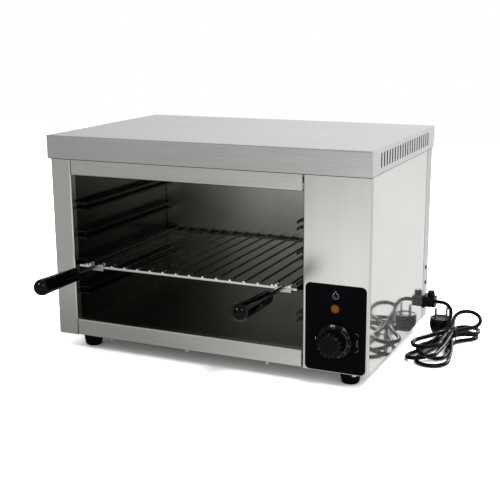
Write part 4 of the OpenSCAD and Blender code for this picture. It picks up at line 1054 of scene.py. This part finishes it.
@dataclass
class MainsLead:
    """The lead with its gland, its tie and its plug.

    Attributes:
        diameter: Diameter of the lead in metres.
        tie_middle: Middle of the tie in millimetres.
        tie_size: Half of the tie's width and height along its wire in millimetres.
        tie_radius: Radius of the tie's wire in millimetres.
        tie_points: Number of points round the tie.
        end_points: Number of points along one of its ends.
        plug_middle: Middle of the plug's base in millimetres.
        plug_turn: Turn of the line through its pins in degrees.
        plug_radii: Radius at the plug's foot and at its face in metres.
        plug_height: Height of the plug's face in millimetres.
        plug_swell: Heights in millimetres and how far the plug swells there.
        rim: Width of the rim round the plug's face in metres.
        recess: Depth of the face behind its rim in metres.
        step: Width of the slope at the recess and at the finger grooves in metres.
        rib_z: Lowest and highest place of the finger grooves in metres.
        rib_depth: Depth of a finger groove in metres.
        rib_pitch: Turn from one finger groove to the next in degrees.
        rib_width: Width of a finger groove in degrees.
        tail_reach: Start and end of the strain relief from the plug's middle in metres.
        tail_radii: Radius at its start and at its end in metres.
        tail_height: Height of its middle in millimetres.
        tail_rings: Number of pieces that it is cut into.
        tail_waist: Share of its width that every second ring keeps.
    """

    diameter: float = 0.007
    tie_middle: Triple = (335.0, 186.0, 14.0)
    tie_size: Pair = (13.2, 12.9)
    tie_radius: float = 0.9
    tie_points: int = 40
    end_points: int = 26
    plug_middle: Triple = (311.0, 229.0, 0.0)
    plug_turn: float = 18.0
    plug_radii: Pair = (0.0118, 0.019)
    plug_height: float = 31.5
    plug_swell: tuple[Pair, ...] = ((4.0, 1.17), (9.0, 1.13), (15.0, 1.08), (22.0, 1.04))
    rim: float = 0.0024
    recess: float = 0.0012
    step: float = 0.0003
    rib_z: Pair = (0.010, 0.021)
    rib_depth: float = 0.0006
    rib_pitch: float = 15.0
    rib_width: float = 6.0
    tail_reach: Pair = (0.013, 0.034)
    tail_radii: Pair = (0.0088, 0.0052)
    tail_height: float = 11.0
    tail_rings: int = 14
    tail_waist: float = 0.84

    def build(self) -> None:
        """Build the lead and all that is on it."""
        dress_nodes(SHEATH, "cord_tail")
        dress_nodes(CHROME, "plug_contacts")
        dress_nodes(BLOCK_PLASTIC, "gland_locknut")
        on_lead = [self.plug(), self.plug_relief(), self.tie(),
                   self.tie_end("tie_end_a", 1, 11.0, 0.0),
                   self.tie_end("tie_end_b", -1, 8.0, math.pi)]
        for node, name in (("cable_gland", "gland_block"), ("gland_clamp", "gland_post")):
            stand_in(node, name, 0.0006, 35, BLOCK_PLASTIC, "cabinet", "black_matte")
        self.lead()

    def lead(self) -> None:
        """Lay the lead along its settled route.
        """
        route = LeadRoute()
        route.sample()
        route.settle()
        measured = route.measure()
        LOG.info("lead %s", measured)
        points = [place * MM for place in route.points]
        piece = draw_line("mains_lead", "NURBS", points, self.diameter / 2, 5)
        spline = piece.data.splines[0]
        spline.order_u = 4
        spline.use_endpoint_u = True
        spline.resolution_u = 3
        dress(SHEATH, piece)
        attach(piece, "cabinet")
        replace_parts(piece, "power_cord", "cord_hank")
        mm(*route.from_gland[0])
        measured["length"] * MM

    def tie(self) -> bpy.types.Object:
        """Wind the twist tie round the hank."""
        x, y, z = self.tie_middle
        half_w, half_h = self.tie_size
        squareness, sway = 4, 0.8
        loop = []
        for k in range(self.tie_points):
            angle = 2 * math.pi * k / self.tie_points
            c, s = math.cos(angle), math.sin(angle)
            push = (abs(c) ** squareness + abs(s) ** squareness) ** (-1 / squareness)
            loop.append(mm(x + half_w * c * push, y + sway * math.sin(2 * angle),
                           max(z + half_h * s * push, self.tie_radius)))
        ring = wire("tie_loop", loop, self.tie_radius * MM, True).smooth(60)
        piece = ring.stretch((1.0, 2.0, 1.0), mm(x, y, z)).finish(
            TIE_PLASTIC, "cabinet", "black_matte")
        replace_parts(piece, "cord_tie")
        return piece

    def tie_end(self, name: str, side: int, reach: float, lead_in: float) -> bpy.types.Object:
        """Stand one of the tie's two ends up, twisted round the other and bent away at its tip.

        Args:
            name: Name of the end.
            side: 1 to bend it back, -1 to bend it forward.
            reach: How far it runs sideways in millimetres.
            lead_in: Turn of the twist at its start in radians.

        Returns:
            The end.
        """
        x, y, z = self.tie_middle
        parting, lay, opening, rise, wire_radius = 0.7, 1.1, 9.0, 3.5, 0.0008
        foot = (x + 4, y - 2, z + self.tie_size[1] + 0.7)
        twist = []
        for k in range(self.end_points):
            t = k / (self.end_points - 1)
            turn = 5 * math.pi * min(t, parting) + lead_in
            spread = lay + opening * max(t - parting, 0.0)
            twist.append(mm(foot[0] + reach * t + spread * math.cos(turn) * 0.4,
                            foot[1] + side * spread * math.sin(turn) * 0.8,
                            foot[2] + rise * t + spread * math.cos(turn) * 0.5))
        end = wire(name, twist, wire_radius, False).smooth(60)
        return end.finish(TIE_PLASTIC, "cabinet", "black_matte")

    def plug(self) -> bpy.types.Object:
        """Mould the plug's tapered body with its recessed face and finger grooves."""
        x, y, _ = self.plug_middle
        foot, face = mm(x, y, 0.3), mm(x, y, self.plug_height)
        body = Workpiece.drum("plug_moulding", foot, face, *self.plug_radii, 72)

        def in_groove(middle: Vector, normal: Vector) -> bool:
            """Whether a face lies in a finger groove."""
            turn = math.degrees(math.atan2(middle.y - foot.y, middle.x - foot.x)) % self.rib_pitch
            low, high = self.rib_z
            return low < middle.z < high and turn < self.rib_width and abs(normal.z) < 0.8

        with body.edit():
            for height, width in self.plug_swell:
                body.cut(mm(x, y, height), UP)
                body.widen(mm(x, y, height), UP, (width, width, 1.0))
            body.faces(lambda middle, normal: normal.z > 0.9)
            bpy.ops.mesh.inset(thickness=self.rim, depth=0.0)
            bpy.ops.mesh.inset(thickness=self.step, depth=-self.recess)
            if body.faces(in_groove):
                bpy.ops.mesh.inset(thickness=self.step, depth=-self.rib_depth)
        piece = body.soften(0.0004).finish(BLOCK_PLASTIC, "cabinet", "black_rubber")
        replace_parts(piece, "plug_body")
        return piece

    def plug_relief(self) -> bpy.types.Object:
        """Mould the tapered strain relief at the plug, with rings cut into it."""
        x, y, _ = self.plug_middle
        turn = math.radians(self.plug_turn)
        way = Vector((math.sin(turn), -math.cos(turn), 0.0))
        start, end = (mm(x, y, self.tail_height) + way * reach for reach in self.tail_reach)
        tail = Workpiece.drum("plug_strain_relief", start, end, *self.tail_radii, 40)
        rings = [start.lerp(end, k / self.tail_rings) for k in range(self.tail_rings)]
        with tail.edit():
            for place in rings[1:]:
                tail.cut(place, way)
            for place in rings[4::2]:
                tail.widen(place, way, (self.tail_waist,) * 3)
        return tail.soften(0.0003).finish(BLOCK_PLASTIC, "cabinet", "black_rubber")


# -------------------------------------------------------------- the casing


@dataclass
class Casing:
    """The bent-sheet casing: its finishes and dark strips of painted shadow under the cover's rim
    and in the joints.

    Attributes:
        cover_x: Half width of the cover in millimetres.
        cover_y: Front and back of the cover.
        cover_z: Underside of the cover's rim.
        body_x: Half width of the body.
        joint_z: Foot and head of the upright joints.
        corner_y: Front and back of the joints behind the front sheets.
        rear_y: Front and back of the joints before the rear panel.
        post_x: Left and right of the joints beside the front post.
        post_y: Front and back of the joints beside the front post.
        header_z: Foot and head of the joint beside the header.
        rail_z: Foot and head of the joint beside the bottom rail.
    """

    cover_x: float = 280.0
    cover_y: Pair = (-107.6, 257.4)
    cover_z: float = 333.0
    body_x: float = 278.5
    joint_z: Pair = (28.6, 332.0)
    corner_y: Pair = (-96.3, -95.6)
    rear_y: Pair = (217.5, 219.3)
    post_x: Pair = (-240.9, -240.2)
    post_y: Pair = (-99.7, -98.9)
    header_z: Pair = (305.4, 332.6)
    rail_z: Pair = (28.4, 56.4)

    def build(self) -> None:
        """Dress the sheets and the fasteners, then lay the strips of painted shadow."""
        dress_nodes(STEEL_TOP, "top_cover")
        dress_nodes(STEEL_SIDE, "left_side_panel", "right_side_panel")
        dress_nodes(STEEL_POST, "front_post", "control_fascia")
        dress_nodes(STEEL_FRONT, "front_header", "front_rail")
        dress_nodes(STEEL_PLAIN, "rear_panel")
        dress_nodes(STEEL_BASE, "base_plate")
        dress_nodes(ZINC, "base_screws", "cover_nuts", "foot_screws", "foot_nuts")
        dress_nodes(DARK_SCREW, "cover_screws")
        self.strips()

    def strips(self) -> None:
        """Lay a dark strip of painted shadow under each edge of the cover's rim and in each joint
        of the sheets.
        """
        x, side, z = self.cover_x, self.body_x, self.cover_z
        front, back = self.cover_y
        rim_shadow_y, rim_shadow_z = (front + 0.4, back - 0.5), (z - 0.8, z)
        # painted shadow: each strip is a dark sheet where there is only the shadow under the rim
        # or in a gap
        strips: dict[str, tuple[Pair, Pair, Pair]] = {
            "cover_hem_front": ((-x + 0.4, x - 0.4), (front + 0.3, front + 1.4), (z - 1.0, z)),
            "cover_hem_left": ((-x + 0.2, -x + 1.2), rim_shadow_y, rim_shadow_z),
            "cover_hem_right": ((x - 1.2, x - 0.2), rim_shadow_y, rim_shadow_z),
            "corner_joint_right": ((side - 0.5, side + 0.12), self.corner_y, self.joint_z),
            "corner_joint_left": ((-side - 0.12, -side + 0.5), self.corner_y, self.joint_z),
            "rear_joint_right": ((side - 1.0, side - 0.2), self.rear_y, self.joint_z),
            "rear_joint_left": ((-side + 0.2, -side + 1.0), self.rear_y, self.joint_z),
            "header_joint_left": (self.post_x, self.post_y, self.header_z),
            "rail_joint_left": (self.post_x, self.post_y, self.rail_z),
        }
        for name, sides in strips.items():
            low, high = zip(*sides)
            made = Workpiece.block(name, mm(*low), mm(*high)).soften(0.00012, 1)
            made.finish(GAP_SHADOW, "cabinet", "black_matte")


@dataclass
class Cavity:
    """The liner, its runners, the elements and the wiring behind it."""

    def build(self) -> None:
        """Dress the liner, runners, elements and hidden parts."""
        dress_nodes(LINER, "cavity_right_wall", "cavity_back_wall", "cavity_floor", "reflector")
        dress_nodes(SHADED_LINER_WALL, "cavity_left_wall")
        dress_nodes(SHADED_RUNNER, "upper_runners_left", "upper_runners_right",
                    "lower_runners_left", "lower_runners_right")
        dress_nodes(WOOL, "top_insulation")
        dress_nodes(ELEMENT, "front_element", "rear_element", "element_hangers")
        dress_nodes(BRASS, "element_fittings", "element_nuts")
        dress_nodes(CERAMIC, "element_beads")
        dress_nodes(ZINC, "thermostat_body", "thermostat_screws", "thermostat_shaft", "bulb_clips")
        dress_nodes(DARK_SCREW, "terminal_screws")
        dress_nodes(COPPER, "thermostat_bulb")
        dress_nodes(WHITE_PLASTIC, "terminal_block")
        dress_nodes(SHEATH, "internal_wires")


@dataclass
class SlidingGrid:
    """The wire grid and its two handles."""

    def build(self) -> None:
        """Dress the grid and the handles."""
        dress_nodes(GRID_WIRE, "wire_grid")
        dress_nodes(BRACKET, "handle_brackets", "bracket_clamps")
        dress_nodes(CHROME, "bracket_screws")
        dress_nodes(ROD, "handle_rods")
        stand_in("handle_grips", "grips", 0.0006, 40, GRIP_RESIN, "grid", "black_gloss")


@dataclass
class ControlPanel:
    """The printed overlay, the lamp and the knob.

    Attributes:
        overlay_y: Front face of the overlay in millimetres.
        ink: How far the print's middle stands before its face.
        knob_x: Side place of the knob's axis.
        knob_z: Height of the knob's axis.
        skirt_y: Front face of the knob's skirt.
        dial_start: Turn of the scale's first tick in degrees.
        tick_step: Turn from tick to tick.
        ticks: Number of ticks.
        words: Numbers on the dial, one at every fifth tick.
        flame_at: Side place and height of the flame's middle.
        flame: Outline of the flame, from its middle.
        heart: Line inside the flame.
        hook: Line of the upper arrow, from the side place of both and the height of its end.
    """

    overlay_y: float = -100.6
    ink: float = 0.05
    knob_x: float = 225.25
    knob_z: float = 79.5
    skirt_y: float = -107.1
    dial_start: float = 36.0
    tick_step: float = 6.2
    ticks: int = 25
    words: tuple[str, ...] = ("50", "100", "150", "200", "250", "300")
    flame_at: Pair = (225.0, 151.0)
    flame: tuple[Pair, ...] = (
        (0.6, 6.6), (2.0, 4.2), (1.7, 2.2), (2.9, 1.0), (3.6, 2.4), (5.2, 0.6), (5.4, -2.2),
        (3.9, -4.9), (1.2, -6.2), (-1.9, -5.6), (-4.0, -3.2), (-4.1, -0.4), (-2.4, 1.8),
        (-0.8, 4.0),
    )
    heart: tuple[Pair, ...] = ((-1.0, -0.4), (0.6, -1.2), (1.0, -3.0), (-0.2, -4.4), (-1.9, -3.4))
    hook: tuple[Pair, ...] = ((-3.0, 2.6), (-0.6, 2.2), (1.6, 0.8), (2.6, -1.6))

    def build(self) -> None:
        """Build the knob and the print, and dress the overlay and the lamp."""
        dress_nodes(OVERLAY_FILM, "control_overlay")
        dress_nodes(LAMP, "pilot_lamp_lens")
        dress_nodes(WHITE_PLASTIC, "pilot_lamp_body", "pilot_lamp_nut")
        self.knob()
        self.dial()
        self.print()

    def knob(self) -> None:
        """Taper the knob's grip and soften it and its cap."""
        body = Workpiece.from_node("knob_moulding", "knob")
        axis = mm(self.knob_x, 0, self.knob_z)
        face_y, seat_radius, taper = -0.1265, 0.013, 0.86

        def on_face(end: Vector) -> bool:
            """Whether a place lies on the grip's front face, outside the cap's seat."""
            return end.y < face_y and math.hypot(end.x - axis.x, end.z - axis.z) > seat_radius

        with body.edit():
            LOG.info("%d front edges of the grip", body.edges(on_face))
            bpy.ops.transform.resize(value=(taper, 1.0, taper), center_override=axis)
        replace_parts(body.soften(0.0005).finish(KNOB_PLASTIC, "knob", "black_matte"), "knob")
        stand_in("knob_cap", "knob_disc", 0.0003, 30, CAP_PLASTIC, "knob", "black_matte")

    def around(self, radius: float, angle: float) -> Vector:
        """A place on the skirt at a radius and an angle from the top, clockwise."""
        return mm(self.knob_x + radius * math.sin(angle), self.skirt_y - self.ink,
                  self.knob_z + radius * math.cos(angle))

    def dial(self) -> None:
        """Print the dot, the fine scale and the numbers on the skirt."""
        inner, outer, long_tick, zero_tick = 21.0, 22.0, 22.8, (21.6, 23.0)
        dot_place, dot, word_place, letter = 25.2, 0.0009, 24.9, 0.0018
        thin, thick, per_word = 0.0004, 0.0011, 5
        zero = math.radians(2)
        top = stroke("dial_zero", [self.around(radius, zero) for radius in zero_tick], thick)
        top.finish(PRINT_WHITE, "knob", "white_plastic")
        middle = self.around(dot_place, zero)
        spot = Workpiece.drum("dial_dot", middle, middle + mm(0, -0.1, 0), dot, dot, 16)
        spot.soften(0.0001, 1).finish(PRINT_WHITE, "knob", "white_plastic")
        for k in range(self.ticks):
            angle = math.radians(self.dial_start + self.tick_step * k)
            ends = (inner, outer if k % per_word else long_tick)
            line = [self.around(radius, angle) for radius in ends]
            tick = stroke(f"dial_tick_{k:02d}", line, thin)
            tick.finish(PRINT_WHITE, "knob", "white_plastic")
        for k, word in enumerate(self.words):
            angle = math.radians(self.dial_start + self.tick_step * per_word * k)
            middle = self.around(word_place, angle)
            mark = lettering(f"dial_mark_{word}", word, middle, letter, angle)
            mark.finish(PRINT_GREY, "knob", "white_plastic")

    def print(self) -> None:
        """Print the flame, the pointer tick, the arrows and the thermometer."""
        middle_x, middle_z = self.flame_at
        pointer_x, arrow_x, heat_x = 193.8, 260.0, 260.5
        upper_z, lower_z, bulb_z = 92.0, 68.0, 76.0
        flame, heart = ([(middle_x + x, middle_z + z) for x, z in line]
                        for line in (self.flame, self.heart))
        upper, lower = ([(arrow_x + x, middle + way * z) for x, z in self.hook]
                        for middle, way in ((upper_z, 1), (lower_z, -1)))
        turns = [k * math.pi / 6 for k in range(12)]
        bulb = [(heat_x + 1.6 * math.sin(a), bulb_z + 1.9 * math.cos(a)) for a in turns]
        marks: dict[str, tuple[Finish, list[Pair], float, bool]] = {
            "flame": (PRINT_WHITE, flame, 0.0005, True),
            "flame_heart": (PRINT_GREY, heart, 0.0005, False),
            "pointer": (PRINT_WHITE, [(pointer_x, 81.8), (pointer_x, 77.6)], 0.0009, False),
            "arc_upper": (PRINT_GREY, upper, 0.0007, False),
            "arc_lower": (PRINT_GREY, lower, 0.0007, False),
            "heat_stem": (PRINT_GREY, [(heat_x, 84.5), (heat_x, 77.5)], 0.0011, False),
            "heat_case": (PRINT_GREY, bulb, 0.0006, True),
        }
        for name, (finish, line, width, closed) in marks.items():
            places = [mm(x, self.overlay_y - self.ink, z) for x, z in line]
            mark = stroke(f"print_{name}", places, width, closed)
            mark.finish(finish, "cabinet", "white_plastic")


@dataclass
class Feet:
    """The four rubber feet."""

    def build(self) -> None:
        """Soften the feet's rims."""
        stand_in("feet", "rubber_feet", 0.0008, 35, FOOT_RUBBER, "cabinet", "black_rubber")


# ---------------------------------------------------------------- the studio


@dataclass(frozen=True)
class Lamp:
    """A soft square lamp.

    Attributes:
        name: Name of the lamp.
        place: Where it hangs.
        power: Its power in watts.
        size: Its side in metres.
    """

    name: str
    place: Triple
    power: float
    size: float

    def hang(self, aim: Triple) -> bpy.types.Object:
        """Hang the lamp so that it looks at a place, and give it back."""
        data = bpy.data.lights.new(self.name, "AREA")
        data.energy = self.power
        data.size = self.size
        lamp = put_in_scene(self.name, data)
        turn = (Vector(aim) - Vector(self.place)).to_track_quat("-Z", "Y").to_matrix().to_4x4()
        lamp.matrix_world = Matrix.Translation(self.place) @ turn
        return lamp


@dataclass
class Studio:
    """Camera, floor, soft light and a white background.

    Attributes:
        eye: Place of the camera.
        ahead: Direction that it looks in.
        right: Direction of the picture's right.
        lens: Focal length in millimetres on a 36 mm sensor.
        aim: Place that the lamps look at.
        floor_size: Side of the floor in metres.
        floor_drop: How far the floor lies under the object in metres.
        floor_matt: Colour that the floor lights the object with.
        floor_seen: Colour of the floor for the camera, bright enough to show white.
        floor_share: How much of the floor's own level metal mirrors.
        room_light: Level of the light from all round.
        lamps: Lamps that light the object, and which no metal mirrors.
        streaks: Lamps that only the dark glossy pieces mirror.
    """

    eye: Triple = (0.68735, -1.43668, 0.56026)
    ahead: Triple = (-0.39964, 0.88639, -0.23367)
    right: Triple = (0.91225, 0.40958, -0.00651)
    lens: float = 70.30
    aim: Triple = (0.03, 0.05, 0.15)
    floor_size: float = 6.0
    floor_drop: float = 0.0003
    floor_matt: Triple = (0.86, 0.86, 0.85)
    floor_seen: Triple = (2.9, 2.9, 2.9)
    floor_share: float = 0.8
    room_light: float = 0.44
    lamps: tuple[Lamp, ...] = (
        Lamp("key_lamp", (1.5, -1.3, 1.9), 13.0, 0.3),
        Lamp("fill_lamp", (-1.7, -1.2, 1.4), 6.0, 0.6),
        Lamp("side_lamp", (1.9, 0.5, 1.9), 12.0, 1.6),
        Lamp("back_lamp", (0.5, 1.2, 2.4), 26.0, 0.4),
    )
    streaks: tuple[Lamp, ...] = (
        Lamp("front_streak", (1.5, -1.3, 1.9), 40.0, 0.4),
        Lamp("left_streak", (-0.9, -1.5, 2.0), 40.0, 0.4),
        Lamp("back_streak", (1.0, 1.9, 0.9), 21.0, 0.8),
    )

    def build(self) -> None:
        """Build camera, floor, lamps and world."""
        self.camera()
        self.floor()
        for lamp in self.lamps:
            lamp.hang(self.aim).visible_glossy = False
        self.world()

    def camera(self) -> None:
        """Place the camera."""
        data = bpy.data.cameras.new("studio_camera")
        data.lens = self.lens
        data.sensor_width = 36.0
        data.clip_start = 0.01
        camera = put_in_scene("studio_camera", data)
        ahead, right = Vector(self.ahead).normalized(), Vector(self.right).normalized()
        turn = Matrix((right, right.cross(ahead), -ahead)).transposed().to_4x4()
        camera.matrix_world = Matrix.Translation(self.eye) @ turn
        bpy.context.scene.camera = camera

    def shine(self, *names: str) -> None:
        """Give the dark glossy pieces of these names their streaks."""
        dark = bpy.data.collections.new("dark_gloss")
        for name in names:
            dark.objects.link(bpy.data.objects[name])
        for streak in self.streaks:
            lamp = streak.hang(self.aim)
            lamp.visible_diffuse = False
            lamp.light_linking.receiver_collection = dark

    def floor(self) -> None:
        """Lay a plain pale floor that shows white and keeps the shadow."""
        bpy.ops.object.select_all(action="DESELECT")
        bpy.ops.mesh.primitive_grid_add(
            x_subdivisions=4, y_subdivisions=4, size=self.floor_size,
            location=(0, 0, -self.floor_drop),
        )
        piece = Workpiece("studio_floor", bpy.context.object).piece
        paint = bpy.data.materials.new("studio_floor")
        paint.use_nodes = True
        graph = Graph(paint.node_tree)
        matt = graph.node("BsdfDiffuse", {"Color": self.floor_matt})
        pale = graph.node("BsdfDiffuse", {"Color": self.floor_seen})
        glow = graph.node("Emission", {"Color": WHITE, "Strength": self.glow(graph)})
        mixed = graph.by_ray(matt, glow, pale, self.floor_share)
        graph.node("OutputMaterial", {"Surface": mixed})
        piece.data.materials.append(paint)

    def glow(self, graph: Graph) -> Signal:
        """Give the floor's painted level in metal: dim to the left, with painted shade in front of
        the casing and a painted shadow under it.
        """
        side, deep, _ = graph.axes(graph.place())
        wall, casing_front, casing_back = (0.27, 0.31), (-0.12, -0.07), (0.24, 0.3)
        least_far, least_near, beside_level, shadow = 0.36, 0.25, 0.97, 0.94
        right = side.between(-0.12, 0.02) * (1 - side.between(0.03, 0.4) * 1.9)
        far = least_far + side.between(-0.65, -0.12) * 0.64 + right * 0.32
        # painted shade: the floor near the casing's front is dimmer in metal
        near = least_near + side.between(-0.22, 0.2) * 0.5
        front = deep.between(-0.75, -0.25)
        beside = (side.between(*wall) * deep.between(-0.3, -0.1)).most(deep.between(-0.2, 0.8))
        across = 1 - abs(side).between(*wall)
        # painted shadow: the floor under the casing is dimmed in metal
        under = across * deep.between(*casing_front) * (1 - deep.between(*casing_back))
        level = (far * (1 - front) + near * front) * (1 - beside) + beside * beside_level
        return level * (1 - under * shadow)

    def world(self) -> None:
        """Light the room plainly and show it white."""
        world = bpy.data.worlds.new("studio_world")
        world.use_nodes = True
        bpy.context.scene.world = world
        graph = Graph(world.node_tree)
        side, deep, up = graph.axes(graph.value("TexCoord", "Generated", {}))
        least, to_right, to_back, overhead = 0.42, 0.32, 0.2, 0.35
        level = least + side.between(-0.74, -0.22) * to_right + deep.between(-0.5, 0.4) * to_back
        level = level * (1 - up.between(0.3, 0.8) * overhead)
        lights = ((WHITE, self.room_light), ((1.0, 1.0, 0.99), level), (WHITE, 1.0))
        plain, mirrored, seen = (
            graph.node("Background", {"Color": colour, "Strength": strength})
            for colour, strength in lights
        )
        graph.node("OutputWorld", {"Surface": graph.by_ray(plain, mirrored, seen, 1.0)})


def main() -> None:
    """Build every sub-assembly in order."""
    logging.basicConfig(level=logging.INFO, format="%(name)s: %(message)s")
    bpy.context.scene.view_settings.view_transform = "Standard"
    studio = Studio()
    for part in (studio, MainsLead(), Casing(), Cavity(), SlidingGrid(), ControlPanel(), Feet()):
        LOG.info("building %s", type(part).__name__)
        part.build()
    studio.shine("mains_lead", "plug_moulding", "plug_strain_relief", "gland_block", "gland_post",
                 "grips", "knob_moulding")
    bpy.context.view_layer.update()


if __name__ == "__main__":
    main()
